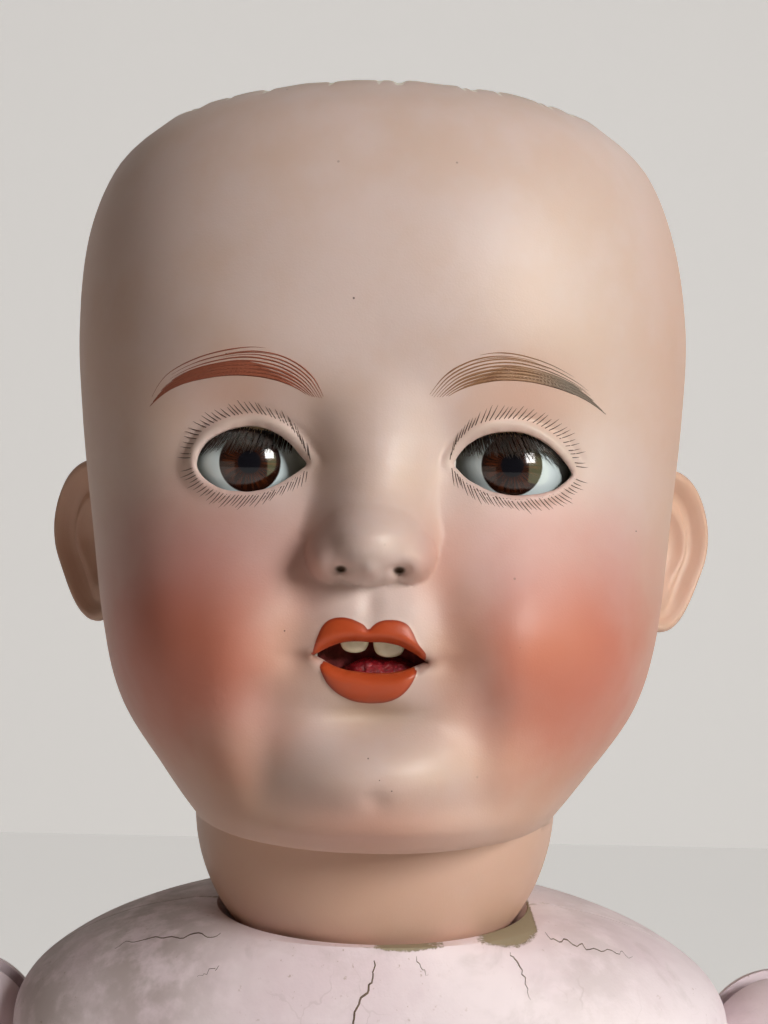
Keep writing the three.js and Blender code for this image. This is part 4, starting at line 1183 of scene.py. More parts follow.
@dataclass
class BisqueHead:
    """The head with its openings and its cut crown."""

    form: HeadForm = field(default_factory=HeadForm)
    wall: float = 4.0
    socket: float = 13.2
    band: float = 0.5

    @staticmethod
    def _loops() -> dict[str, Array]:
        """The painted and cut outlines of the face."""
        return {
            "right": smooth_loop(EYE_OPENINGS[Side.RIGHT], 160),
            "left": smooth_loop(EYE_OPENINGS[Side.LEFT], 160),
            "mouth": smooth_loop(MOUTH_OPENING, 160),
            "upper": smooth_loop(UPPER_LIP, 160),
            "lower": smooth_loop(LOWER_LIP, 120),
        }

    def _details(self, p: Array, azimuth: Array, share: Array) -> tuple[Array, Array]:
        """Works the lids and the lips into the surface.

        Args:
            p: The surface's points, which are moved.
            azimuth: Their azimuths.
            share: Their shares down a meridian.

        Returns:
            How far inside the lips each point is, and how much of it is the pale rim of a lid.
        """
        flat = p.reshape(-1, 3)
        facing = (np.cos(azimuth) > 0.3) & (share < self.form.skull_share)
        zone = np.flatnonzero((facing & (p[..., 2] > 24) & (p[..., 2] < 100)).ravel())
        places = flat[zone][:, [0, 2]]
        depth = {name: inside_loop(places, loop)[0] for name, loop in self._loops().items()}
        rise = np.zeros(len(zone))
        rim = np.zeros(len(flat))
        for name in ("right", "left"):
            gap = -depth[name]
            upper = np.clip((places[:, 1] - 73.5) / 3.0, 0.0, 1.0)
            fold = bell((gap - 1.15) / 0.8)
            rise += self.band * fold * upper
            rim[zone] = np.maximum(rim[zone], fold * (0.35 + 0.65 * upper))
            rise -= 0.35 * bell((gap - 2.7) / 0.7) * upper
            rise += 0.16 * bell((gap - 0.7) / 0.55) * (1.0 - upper)
            rise -= 0.4 * np.clip(1.0 - gap / 0.5, 0.0, 1.0) ** 2
        for name, high in (("upper", 0.55), ("lower", 0.9)):
            pillow = 1.0 - np.clip(depth[name] / 2.4, 0.0, 1.0)
            rise += high * np.sqrt(1.0 - pillow**2) * (depth[name] > 0)
        gap = -depth["mouth"]
        shallow = np.clip((11.6 - np.abs(places[:, 0] + 0.4)) / 3.0, 0.2, 1.0)
        rise -= 1.5 * shallow * np.clip(1.0 - gap / 1.5, 0.0, 1.0) ** 2
        flat[zone, 1] -= rise
        lips = np.full(len(flat), -5.0)
        lips[zone] = np.maximum(depth["upper"], depth["lower"])
        return lips, rim

    @staticmethod
    def _chips(p: Array, azimuth: Array) -> Array:
        """Nicks the edge of the cut crown.

        Args:
            p: The surface's points, of which the first rows are moved.
            azimuth: The azimuths of the columns.

        Returns:
            How much bare bisque shows at each point.
        """
        maker = np.random.default_rng(7)
        raw = np.zeros(p.shape[:2])
        reach = np.hypot(p[0, :, 0], p[0, :, 1])
        wave = sum(0.06 * np.sin(k * azimuth + maker.uniform(0, 6.3)) for k in (9, 17, 31))
        for row, share in enumerate((1.0, 0.4, 0.1)):
            p[row, :, 2] += wave * share
        for _ in range(34):
            where = maker.uniform(-math.pi, math.pi)
            long, deep = maker.uniform(0.4, 1.1), maker.uniform(0.15, 0.5)
            run = (azimuth - where + math.pi) % (2 * math.pi) - math.pi
            nick = bell(run * reach / long)
            p[0, :, 2] -= deep * nick
            raw[0] = np.maximum(raw[0], nick)
            raw[1] = np.maximum(raw[1], 0.3 * nick)
        raw[0] = np.maximum(raw[0], 0.55)
        return raw

    @staticmethod
    def _normals(p: Array) -> Array:
        """The directions in which a surface of rows and columns faces out."""
        round_ = np.roll(p, -1, axis=1) - np.roll(p, 1, axis=1)
        n = np.cross(np.gradient(p, axis=0), round_)
        return n / (np.linalg.norm(n, axis=-1, keepdims=True) + 1e-12)

    def build(self) -> None:
        """Makes the head."""
        columns, rows = self.form.columns(), self.form.rows()
        width = len(columns)
        azimuth, share = np.meshgrid(columns, rows)
        p = self.form.points(azimuth, share)
        lips, rim = self._details(p, azimuth, share)
        raw = self._chips(p, columns).ravel()
        normals = self._normals(p).reshape(-1, 3)
        points = p.reshape(-1, 3).copy()
        total = len(points)
        faces = np.array(ring_faces(len(rows), width))[:, ::-1]
        lid_edge = ((0.12, 0.1), (0.22, 0.3), (0.26, 0.55), (0.26, 0.85))
        lip_edge = ((0.2, 0.25), (0.45, 0.8), (0.5, 1.6), (0.3, 3.4))
        openings = [Opening(EYE_OPENINGS[side], lid_edge) for side in Side]
        openings.append(Opening(MOUTH_OPENING, lip_edge))
        added, closing, colours = [], [], []
        for opening in openings:
            faces, ring = opening.pierce(points, faces, normals)
            new, between = opening.edge(points[ring], total)
            added.append(new)
            closing += between
            count = len(ring)
            for i in range(count):
                j = (i + 1) % count
                closing.append((int(ring[j]), int(ring[i]), total + i, total + j))
            colours.append(np.tile(lips[ring], len(opening.steps)) - np.repeat([0.0, 0.0, 0.6, 4.0], count))
            total += len(new)
        inner, inner_faces, inner_rows = self._inside(columns, total, openings)
        low, last = (len(rows) - 1) * width, total + (inner_rows - 1) * width
        for i in range(width):
            j = (i + 1) % width
            closing.append((i, j, total + j, total + i))
            closing.append((low + j, low + i, last + i, last + j))
        raw = np.concatenate([raw, np.zeros(total - len(raw)), np.ones(len(inner))])
        lips = np.concatenate([lips, *colours, np.full(len(inner), -5.0)])
        points = np.vstack([points, *added, inner])
        points[:, 2] += NECK_HEIGHT
        piece = make_object("bisque_shell", points, [*faces.tolist(), *closing, *inner_faces], BISQUE, 55.0)
        keep_numbers(piece, raw=raw, lips=lips, rim=np.concatenate([rim, np.zeros(len(points) - len(rim))]))
        publish(piece, BISQUE, "head", "bisque_head")
        self.surface = BVHTree.FromPolygons(points.tolist(), faces.tolist())

    def hollow(self, gap: float) -> Solid:
        """The space inside the wall, drawn in by a gap."""
        around = np.linspace(-math.pi, math.pi, 160, endpoint=False)
        azimuth, share = np.meshgrid(around, np.linspace(0, 0.8, 60))
        p = self.form.points(azimuth, share, fine=False)
        p = p - self._normals(p) * (self.wall + gap)
        return Solid.stack(p[::-1]).outward()

    def _inside(self, columns: Array, first: int, openings: Sequence[Opening]) -> tuple[Array, list, int]:
        """The inner wall of the head.

        Args:
            columns: The azimuths of its columns.
            first: The number of its first corner.
            openings: The holes in the face.

        Returns:
            Its corners, its faces and how many rows it has.
        """
        form = self.form
        shares = np.linspace(0, 1, 90)
        azimuth, share = np.meshgrid(columns, shares)
        p = form.points(azimuth, share, fine=False)
        normal = self._normals(p)
        normal[0, :, 2] = 0.0
        q = p - normal * self.wall
        q[0, :, 2] = p[0, :, 2]
        for side in Side:
            centre = np.array([side.value * form.eye_spread, -form.eye_forward, form.eye_height])
            away = q - centre
            far = np.linalg.norm(away, axis=-1, keepdims=True)
            q = np.where((far < self.socket) & (away[..., 1:2] < 2.0), centre + away / far * self.socket, q)
        q = q.reshape(-1, 3)
        faces = np.array(ring_faces(len(shares), len(columns)))
        for opening in openings:
            depth = np.full(len(q), -9.0)
            near = np.flatnonzero((q[:, 1] < -40) & (q[:, 2] > 25) & (q[:, 2] < 95))
            depth[near] = inside_loop(q[near][:, [0, 2]], opening.loop)[0]
            faces = faces[depth[faces].max(axis=1) < 0.0]
        return q, (faces + first).tolist(), len(shares)


@dataclass
class Ear:
    """An ear with a rolled rim, a hollow and a lobe."""

    set_back: float = 7.5
    centre: float = 58.0
    swing: float = 52.0
    sunk: float = 1.0
    # angle from the front over the top, and how far the outline lies out there
    outline: Array = field(default_factory=lambda: np.array([
        [0, 7.0], [25, 9.5], [55, 15.5], [85, 19.4], [115, 19.0], [145, 16.6], [180, 14.6],
        [210, 13.2], [235, 14.6], [255, 17.4], [275, 19.2], [295, 15.4], [330, 9.0], [360, 7.0],
    ]))

    def build(self, form: HeadForm, side: Side) -> None:
        """Makes the ear.

        Args:
            form: The head that it grows from.
            side: The side that it is on.
        """
        a = np.linspace(0, 2 * math.pi, 96, endpoint=False)
        high = np.degrees(a)
        edge = np.interp(high, self.outline[:, 0], self.outline[:, 1])
        edge = np.convolve(np.tile(edge, 3), np.ones(7) / 7, mode="same")[96:192]
        turn = (high + 180) % 360 - 180
        lobe = bell((high - 275) / 28)
        gap = bell((high - 335) / 30) + bell(turn / 14)
        ridge = bell((high - 165) / 75)
        behind = ((0.55, -5.0), (0.72, -3.0), (0.88, 0.2), (0.97, 2.2))
        rim = ((1.0, 3.6), (0.985, 4.6), (0.94, 5.1), (0.89, 4.9), (0.84, 3.9), (0.78, 2.9))
        rings = [(r, h - 1.2 * gap * (h > 2)) for r, h in (*behind, *rim)]
        for r in np.linspace(0.72, 0.04, 20):
            fold = 1.5 * ridge * bell((r - 0.6) / 0.085)
            guard = 2.6 * np.exp(-((turn / 26) ** 2) - ((r - 0.62) / 0.16) ** 2)
            bowl = 2.6 * min(r / 0.55, 1.0) ** 1.6 - 1.2
            fill = lobe * 2.2 * min(max(r - 0.25, 0.0) / 0.3, 1.0)
            rings.append((r, bowl + fold + guard + fill))
        stack = [
            np.stack([-r * edge * np.cos(a), r * edge * np.sin(a), h + 0.0 * a], axis=1)[::-1]
            for r, h in rings
        ]
        ear = Solid.stack(stack).turned(x=90.0).turned(z=90.0 - self.swing)
        reach = form.half_width * form.side[5][1]
        ear = ear.moved(reach - self.sunk, self.set_back, self.centre + NECK_HEIGHT)
        ear = ear.placed(side)
        piece = make_object(f"ear_{side.suffix}", ear.points, ear.faces, BISQUE)
        keep_numbers(piece, raw=0.0, lips=-5.0, rim=0.0)
        publish(piece, BISQUE, "head")


# Finishes


@dataclass(frozen=True)
class Finish(Look):
    """A plain finish: two tones that cloud into each other over a fine relief."""

    name: str
    tone: Colour
    other: Colour
    cloud: float = 6.0
    rough: float = 0.6
    metal: float = 0.0
    grain: float = 1.0
    depth: float = 0.1
    stretch: Triple = (1.0, 1.0, 1.0)
    coat: float = 0.0
    slot: str = ""

    def build(self, paint: Paint) -> None:
        """Builds its nodes.

        Args:
            paint: The material's nodes.
        """
        share = paint.noise(self.cloud, 5.0, 0.6, 0.4, self.stretch).step(0.35, 0.65)
        paint.colour(paint.mix(self.tone, self.other, share))
        paint.roughness(paint.noise(self.cloud * 0.5, 3.0) * 0.2 + (self.rough - 0.1))
        paint.bump(paint.noise(self.grain, 4.0, 0.6, 0.0, self.stretch), self.depth)
        paint.set(Metallic=self.metal, Coat_Weight=self.coat, Coat_Roughness=0.06)


WAX = Finish("lid_wax", (228, 206, 170), (206, 178, 136), 3.0, 0.38, grain=0.6, depth=0.04)
HAIR = Finish("lash_hair", (22, 15, 13), (48, 31, 24), 1.5, 0.42, grain=0.4, depth=0.01, slot="lid_wax")
LASH_PAINT = Finish("lash_paint", (84, 60, 48), (62, 44, 38), 1.2, 0.5, grain=0.5, depth=0.01,
                    slot="bisque")
TOOTH = Finish("tooth_glaze", (252, 252, 222), (242, 240, 204), 2.5, 0.22, grain=0.8, depth=0.03, coat=0.6)
TONGUE = Finish("tongue_red", (176, 36, 46), (118, 18, 30), 1.2, 0.2, grain=0.9, depth=0.9, coat=0.6)
# the mouth's red inside, and painted shade where the hollow head would be lit through the open crown
RED_AND_SHADE_CUP = Finish("mouth_red_and_shade_cup", (158, 66, 62), (118, 42, 42), 3.0, 0.85, grain=0.8, depth=0.3,
                slot="tongue_red")
PLASTER = Finish("plaster", (236, 230, 218), (214, 204, 188), 5.0, 0.92, grain=0.9, depth=0.35)
CORK = Finish("cork", (182, 136, 88), (126, 84, 48), 1.6, 0.92, grain=0.9, depth=0.45)
STEEL = Finish("steel", (150, 146, 140), (112, 104, 94), 4.0, 0.38, 1.0, 0.5, 0.03)
LEAD = Finish("lead", (112, 114, 118), (84, 86, 90), 5.0, 0.6, 1.0, 1.4, 0.15)
WOOD = Finish("turned_wood", (210, 172, 126), (172, 130, 88), 5.0, 0.62, grain=2.4, depth=0.12,
              stretch=(0.5, 0.5, 3.2))
CORD = Finish("elastic_cord", (236, 230, 216), (212, 202, 184), 1.2, 0.88, grain=0.6, depth=0.25)
CRACK = Finish("crack_shadow", (124, 106, 92), (92, 76, 64), 3.0, 0.95, grain=0.6, depth=0.05,
               slot="composition")


@dataclass(frozen=True)
class BrowPaint(Look):
    """Brown brow paint, redder on the doll's right and greying towards its left temple."""

    warm: Colour = (152, 82, 58)
    gold: Colour = (146, 104, 70)
    grey: Colour = (112, 98, 88)
    name = "brow_paint"
    slot = "bisque"

    def build(self, paint: Paint) -> None:
        """Builds its nodes.

        Args:
            paint: The material's nodes.
        """
        x, _, _ = paint.axes()
        brown = paint.mix(self.warm, self.gold, x.step(-5.0, 5.0))
        brown = paint.mix(brown, self.grey, x.step(25.0, 36.0))
        paint.colour(paint.mix(brown, (112, 68, 48), paint.noise(2.0, 3.0).step(0.5, 0.8) * 0.4))
        paint.set(Roughness=0.5)


@dataclass(frozen=True)
class GlassEye(Look):
    """Blown glass: a bluish white round a brown iris with fine threads."""

    name: str
    across: float
    height: float
    white: Colour = (212, 226, 228)
    edge: Colour = (172, 184, 182)
    iris: Colour = (32, 13, 6)
    thread: Colour = (80, 38, 18)
    pupil: Colour = (12, 13, 20)
    iris_radius: float = 5.7
    pupil_radius: float = 2.1
    slot = "eye_glass"

    def build(self, paint: Paint) -> None:
        """Builds its nodes.

        Args:
            paint: The material's nodes.
        """
        x, y, world_z = paint.axes()
        dx, dz = x - self.across, world_z - (self.height + NECK_HEIGHT)
        r = (dx * dx + dz * dz).root()
        thread = paint.noise_over(dx / r * 8.0, dz / r * 8.0, r * 0.3).step(0.38, 0.66)
        brown = paint.mix(self.iris, self.thread, thread * 0.75)
        rim = r.step(self.iris_radius - 1.5, self.iris_radius - 0.2)
        brown = paint.mix(brown, (30, 15, 12), rim * 0.8)
        halo = r.step(self.pupil_radius + 1.2, self.pupil_radius + 0.1)
        brown = paint.mix(brown, (40, 18, 12), halo * 0.7)
        pupil = r.step(self.pupil_radius + 0.15, self.pupil_radius - 0.1)
        white = paint.mix(self.white, self.edge, r.step(7.0, 12.0))
        outside = r.step(self.iris_radius - 0.12, self.iris_radius + 0.14)
        ahead = y.step(-46.0, -50.0)
        paint.colour(paint.mix(paint.mix(brown, self.pupil, pupil), white, outside * ahead + (1.0 - ahead)))
        paint.set(Roughness=0.16, Specular_IOR_Level=0.15, Coat_Weight=0.7, Coat_Roughness=0.03)


@dataclass(frozen=True)
class BodyPaint(Look):
    """Flesh-tinted oil paint on pressed composition, crazed and worn."""

    name: str
    tone: Colour = (250, 238, 242)
    other: Colour = (238, 222, 228)
    grime: Colour = (160, 148, 138)
    bare: Colour = (158, 147, 122)
    dirt: float = 0.35
    crazed: float = 13.0
    craze_depth: float = 0.6
    patches: tuple[Flat, ...] = ()
    soiled: tuple[tuple[float, float, float, float], ...] = ()
    slot = "composition"

    @staticmethod
    def _inside(x: Value, z: Value, corners: Flat) -> Value:
        """How far a place is inside a flat patch, seen from the front.

        Args:
            x: The place across.
            z: Its height.
            corners: The patch's corners, anticlockwise.

        Returns:
            The distance to its nearest edge, less than 0 outside.
        """
        depth = None
        for (ax, az), (bx, bz) in zip(corners, [*corners[1:], corners[0]]):
            long = math.hypot(bx - ax, bz - az)
            gap = (z - az) * ((bx - ax) / long) - (x - ax) * ((bz - az) / long)
            depth = gap if depth is None else depth.least(gap)
        return depth

    def build(self, paint: Paint) -> None:
        """Builds its nodes.

        Args:
            paint: The material's nodes.
        """
        x, y, z = paint.axes()
        skin = paint.mix(self.tone, self.other, paint.noise(26.0, 4.0, 0.6).step(0.35, 0.68))
        stain = paint.noise(17.0, 5.0, 0.65, 0.6).step(0.5, 0.78) * self.dirt
        for place_x, place_z, wide, strength in self.soiled:
            dx, dz = (x - place_x) / wide, (z - place_z) / wide
            spot = (dx * dx + dz * dz).root().bell() * paint.noise(7.0, 4.0, 0.6).step(0.3, 0.6)
            stain = stain.most(spot * strength)
        skin = paint.mix(skin, self.grime, stain)
        freckle = paint.noise(1.4, 3.0, 0.7).step(0.64, 0.74) * paint.noise(30.0, 2.0).step(0.42, 0.6)
        skin = paint.mix(skin, (168, 142, 124), freckle * 0.6)
        craze = paint.cracks(self.crazed, 0.5).step(0.02, 0.006) * paint.noise(42.0, 3.0).step(0.5, 0.66)
        craze = craze * self.craze_depth
        skin = paint.mix(skin, (132, 112, 98), craze)
        rubbed = (paint.worn_edges() + (paint.noise(2.4, 4.0) - 0.5) * 0.12).step(0.565, 0.6)
        ragged = (paint.noise(1.3, 4.0, 0.7) - 0.5) * 1.5
        lost = rubbed * 0.55
        for corners in self.patches:
            lost = lost.most((self._inside(x, z, corners) + ragged).step(-0.1, 0.25) * y.step(5.0, 0.0))
        paint.colour(paint.mix(skin, self.bare, lost))
        paint.roughness(paint.noise(6.0, 4.0) * 0.2 + 0.46 + lost * 0.25)
        relief = paint.noise(3.2, 4.0, 0.55) * 0.5 + paint.noise(0.5, 2.0) * 0.16 - craze * 0.5 - lost * 0.9
        paint.bump(relief, 0.22)
        paint.set(Specular_IOR_Level=0.4)


BODY_PAINT = BodyPaint(
    "body_paint", dirt=0.3, craze_depth=0.2,
    patches=(((1.0, 468.0), (4.0, 467.3), (8.5, 467.3), (15.0, 468.0), (15.0, 470.0), (1.0, 470.0)),
             ((21.5, 468.2), (28.0, 466.9), (31.0, 466.8), (35.4, 467.6), (35.4, 471.0), (21.5, 471.0))),
    soiled=((-48.0, 462.0, 16.0, 0.6), (-68.0, 452.0, 12.0, 0.5), (46.0, 462.0, 10.0, 0.25)),
)
LIMB_PAINT = BodyPaint("limb_paint", dirt=0.25, crazed=17.0)


# Painted strokes


@dataclass(frozen=True)
class Stroke:
    """A stroke across a surface, seen from the front as X and height."""

    path: Flat
    width: float
    start: float = 0.35
    end: float = 0.1


class Brush:
    """Lays strokes on a surface as very thin closed ribbons."""

    def __init__(self, surface: BVHTree, lift: float = 0.035) -> None:
        """Keeps what is painted on, in millimetres, and how proud a stroke lies."""
        self.surface = surface
        self.lift = lift

    def foot(self, x: float, z: float) -> tuple[Array, Array]:
        """The place on the surface behind a point seen from the front, and its normal there."""
        place, normal, _, _ = self.surface.ray_cast(Vector((x, -300.0, z)), Vector((0.0, 1.0, 0.0)))
        if place is None:
            return np.full(3, np.nan), np.full(3, np.nan)
        normal = np.array(normal)
        return np.array(place), normal if normal[1] < 0 else -normal

    def _ribbon(self, stroke: Stroke) -> Solid | None:
        """One stroke.

        Args:
            stroke: Its path and widths.

        Returns:
            The ribbon, or nothing if it runs off the surface.
        """
        path = np.asarray(stroke.path, float)
        long = np.linalg.norm(np.diff(path, axis=0), axis=1).sum()
        t = np.linspace(0, 1, max(5, int(long / 0.7) + 2))
        line = catmull(path, t * (len(path) - 1))
        way = np.gradient(line, axis=0)
        way /= np.linalg.norm(way, axis=1, keepdims=True) + 1e-9
        side = np.stack([-way[:, 1], way[:, 0]], 1)
        swell = np.interp(t, [0, 0.25, 0.6, 1], [stroke.start, 1, 0.85, stroke.end]) * stroke.width / 2
        rings = []
        for place, across, half in zip(line, side, swell):
            edges = [self.foot(*(place + across * half * s)) for s in (1, -1)]
            (a, n), (b, m) = edges
            rings.append([a + n * self.lift, b + m * self.lift, b - m * 0.05, a - n * 0.05])
        made = np.array(rings)
        return None if np.isnan(made).any() else Solid.stack(made).outward()

    def lay(self, strokes: Iterable[Stroke]) -> Solid:
        """Lays strokes, with heights above the floor, and gives their ribbons as one mesh."""
        return Solid.heap([made for made in map(self._ribbon, strokes) if made is not None])


@dataclass
class FacePaint:
    """Brows and painted lashes."""

    steps: int = 200
    # along the lower edge of each brow from its inner end, and along its upper edge
    brow_low: dict[Side, Flat] = field(default_factory=lambda: {
        Side.RIGHT: ((-12.6, 86.9), (-15.6, 88.7), (-20.4, 90.2), (-26.4, 90.7), (-32.0, 90.2),
                     (-36.6, 89.2), (-40.4, 87.5), (-43.4, 85.2)),
        Side.LEFT: ((12.8, 87.2), (16.0, 89.0), (21.2, 90.4), (26.4, 90.6), (31.3, 90.0), (36.0, 88.8),
                    (39.9, 87.2), (43.2, 85.2)),
    })
    brow_high: dict[Side, Flat] = field(default_factory=lambda: {
        Side.RIGHT: ((-9.4, 85.8), (-11.6, 90.2), (-15.8, 93.6), (-21.6, 95.3), (-28.2, 95.0),
                     (-34.8, 93.5), (-40.4, 90.7), (-43.9, 85.6)),
        Side.LEFT: ((8.8, 86.4), (12.2, 91.0), (16.8, 93.9), (22.4, 95.2), (28.6, 94.6), (34.4, 92.8),
                    (39.4, 90.0), (43.7, 85.2)),
    })

    def _place(self, side: Side, t: float, share: float) -> Array:
        """A place on a brow.

        Args:
            side: The brow.
            t: How far out it is, from 0 to 1.
            share: How far up it is between the brow's edges.

        Returns:
            The place.
        """
        step = min(int(t * (self.steps - 1)), self.steps - 1)
        edges = (self.brow_low[side], self.brow_high[side])
        low, high = (catmull(edge, np.linspace(0, 7, self.steps))[step] for edge in edges)
        return low * (1.0 - share) + high * share

    def brows(self) -> list[Stroke]:
        """Hair-like strokes that fan out from the inner end of each brow."""
        maker = np.random.default_rng(3)
        made = []
        for side in Side:
            for k, share in enumerate(np.linspace(0.0, 1.0, 8)):
                begin = 0.012 + 0.015 * maker.random() + 0.05 * max(share - 0.6, 0.0)
                end = 1.0 - 0.42 * share + 0.03 * maker.normal()
                drift = -0.16 * share
                run = np.linspace(begin, min(end, 1.0), 13)
                hair = [self._place(side, t, share + drift * (t - begin) / (end - begin)) for t in run]
                made.append(self._up(hair, 0.44 if k < 4 else 0.27, 0.12, 0.1))
            for share in (0.5, 0.68, 0.86, 1.03):
                begin = 0.3 + 0.12 * maker.random()
                run = np.linspace(begin, begin + 0.46 + 0.06 * maker.normal(), 11)
                hair = [self._place(side, t, share - 0.3 * (t - begin)) for t in run]
                made.append(self._up(hair, 0.22, 0.1, 0.08))
            for begin, end, share in ((0.14, 0.99, 0.04), (0.2, 0.95, 0.17), (0.26, 0.88, 0.3),
                                      (0.32, 0.8, 0.42)):
                hair = [self._place(side, t, share) for t in np.linspace(begin, end, 11)]
                made.append(self._up(hair, 0.8, 0.1, 0.12))
        return made

    @staticmethod
    def _up(path: Sequence[Array], width: float, start: float, end: float) -> Stroke:
        """A stroke whose heights are measured on the head."""
        return Stroke([(float(x), float(z) + NECK_HEIGHT) for x, z in path], width, start, end)

    def _row(self, side: Side, upper: bool, gaps: Flat, count: int, length: float, width: float,
             angles: Flat) -> list[Stroke]:
        """A row of lashes along one edge of an eye.

        Args:
            side: The eye.
            upper: Whether they grow from the upper lid.
            gaps: Pairs of a share of the way out and how far from the opening they start there.
            count: How many there are.
            length: How long they are.
            width: How thick they are.
            angles: Pairs of a share of the way out from the inner corner and the angle there.

        Returns:
            The strokes.
        """
        loop = smooth_loop(EYE_OPENINGS[side], 240)
        middle = loop.mean(axis=0)
        across = (loop[:, 0] - middle[0]) * side.value
        inner, outer = int(np.argmin(across)), int(np.argmax(across))
        one = np.roll(loop, -inner, axis=0)[: (outer - inner) % 240]
        two = np.roll(loop, -outer, axis=0)[: (inner - outer) % 240][::-1]
        above = one if one[:, 1].mean() > two[:, 1].mean() else two
        below = two if above is one else one
        edge = above if upper else below
        maker = np.random.default_rng(11 + side.value + upper)
        made = []
        for t in np.linspace(0.02, 0.98, count):
            i = min(int(t * (len(edge) - 1)), len(edge) - 2)
            way = edge[i + 1] - edge[max(i - 1, 0)]
            away = np.array([-way[1], way[0]]) / (np.hypot(*way) + 1e-9)
            away = away if (away[1] > 0) == upper else -away
            root = edge[i] + away * np.interp(t, *zip(*gaps))
            a = math.radians(np.interp(t, *zip(*angles)) + maker.normal(0, 2.5))
            aim = np.array([side.value * math.cos(a), math.sin(a)])
            long = length * (1.0 + 0.14 * maker.normal())
            droop = np.array([0.0, 0.03 * long])
            made.append(self._up([root, root + aim * long * 0.5 - droop, root + aim * long], width, 0.8, 0.1))
        return made

    def lashes(self) -> list[Stroke]:
        """Two rows of painted lashes round each eye."""
        made = []
        for side in Side:
            made += self._row(side, True, ((0, 0.6), (0.25, 2.1), (0.8, 2.1), (1, 0.9)), 36, 2.7, 0.17,
                              ((0, 80), (0.3, 66), (0.6, 42), (1, -2)))
            made += self._row(side, False, ((0, 0.4), (1, 0.5)), 36, 2.9, 0.16,
                              ((0, -84), (0.25, -58), (0.7, -44), (1, -14)))
        return made


# Eyes, mouth and what holds the head


@dataclass
class SleepEyes:
    """Glass eyes with wax lids and hair lashes, on a wire with a pendulum."""

    radius: float = 12.0
    spread: float = 24.9
    height: float = 74.5
    forward: float = 49.5
    lid_inner: float = 12.3
    lid_outer: float = 12.9
    lid_front: float = 61.0
    lid_back: float = 22.0
    lid_width: float = 20.4
    wire: float = 1.3
    stem_lean: float = 24.0
    weight_height: float = 36.1
    weight_radius: float = 8.5
    weight_length: float = 15.0
    pivot_radius: float = 1.7
    pivot_length: float = 2.9
    lash_spread: float = 9.6
    lash_radius: float = 12.92
    lash_limit: float = 12.2
    irises: dict[Side, tuple[float, float]] = field(default_factory=lambda: {
        Side.RIGHT: (-23.69, 74.81), Side.LEFT: (25.21, 75.08)})

    def _home(self, made: Solid) -> Solid:
        """Moves what is built round the eyes' axle to its place."""
        return made.moved(0.0, -self.forward, self.height + NECK_HEIGHT)

    def eyeball(self, side: Side) -> Solid:
        """An eyeball whose pole looks out through the middle of its iris, and its pivot."""
        ball = Solid.ball(self.radius, 72).turned(x=90.0)
        stub = Solid.peg(self.pivot_radius, self.radius - 1.0, self.radius + self.pivot_length, 0.5)
        ball = ball.moved(self.spread)
        stub = stub.turned(y=90.0).moved(self.spread)
        return self._home(Solid.heap([ball, stub])).placed(side)

    def lid(self, side: Side) -> Solid:
        """The wax lid, a shell over the top of the glass."""
        shell = Solid.ball(self.lid_outer, 96).cut(Solid.ball(self.lid_inner, 96))
        sector = Solid.wedge(26.0, -self.lid_front, self.lid_back, self.lid_width)
        return self._home(shell.shared(sector).moved(self.spread)).placed(side)

    def lashes(self, side: Side) -> Solid:
        """Hair lashes set in the lid's edge, combed down and outwards."""
        maker = np.random.default_rng(21 + side.value)
        strands = []
        for count, near, far, long in ((230, -0.94, 1.0, 4.6), (80, 0.5, 1.0, 6.2)):
            for u in np.linspace(near, far, count):
                across = self.lash_spread * u + maker.normal(0, 0.12)
                start = math.radians(self.lid_front - 1.2 + maker.normal(0, 0.8))
                length = long * (0.82 + 0.3 * maker.random()) * (1.0 - 0.3 * max(-u, 0.0))
                comb = 0.12 + 0.85 * (0.5 + 0.5 * u) ** 1.6 + maker.normal(0, 0.07)
                radius = self.lash_radius + 0.08 * maker.random()
                path = []
                for t in np.linspace(0, 1, 6):
                    x = across + comb * length * t * (0.7 + 0.3 * t)
                    down = start + length * t * math.cos(min(comb, 1.3)) / self.radius
                    reach = math.sqrt(max(radius**2 - min(abs(x), self.lash_limit) ** 2, 9.0))
                    path.append((x, -reach * math.sin(down), reach * math.cos(down)))
                path = [p for p in path if abs(p[0]) < self.lash_limit]
                if len(path) > 2:
                    thick = np.linspace(0.09, 0.03, len(path))
                    strands.append(Solid.tube(path, thick, 4).moved(self.spread))
        return self._home(Solid.heap(strands)).placed(side)

    def stem(self) -> float:
        """How long the pendulum's stem is, down to the middle of the weight."""
        return (self.height - self.weight_height) / math.cos(math.radians(self.stem_lean))

    def rocker(self) -> Solid:
        """The wire between the eyes and its stem."""
        half = self.spread - self.radius - SEAT
        bar = Solid.peg(self.wire, -half, half, 0.2, 24).turned(y=90.0)
        stem = Solid.peg(self.wire, SEAT - self.stem() + self.weight_length / 2, 0.0, 0.2, 24)
        return self._home(bar.joined(stem.turned(x=self.stem_lean)))

    def weight(self) -> Solid:
        """The lead weight at the end of the stem."""
        middle, half = -self.stem(), self.weight_length / 2
        made = Solid.peg(self.weight_radius, middle - half, middle + half, 1.0, 48)
        return self._home(made.turned(x=self.stem_lean))

    def build(self) -> None:
        """Makes all that tips with the eyes."""
        for side in Side:
            name = side.suffix
            glass = GlassEye(f"eye_glass_{name}", *self.irises[side])
            self.eyeball(side).publish(f"glass_eye_{name}", glass, "sleep_eyes", f"eyeball_{name}")
            self.lid(side).publish(f"wax_lid_{name}", WAX, "sleep_eyes", f"eyelid_{name}")
            self.lashes(side).publish(f"hair_lashes_{name}", HAIR, "sleep_eyes", crease=180.0)
        self.rocker().publish("eye_wire", STEEL, "sleep_eyes", "eye_rocker")
        self.weight().publish("lead_weight", LEAD, "sleep_eyes", "eye_weight")


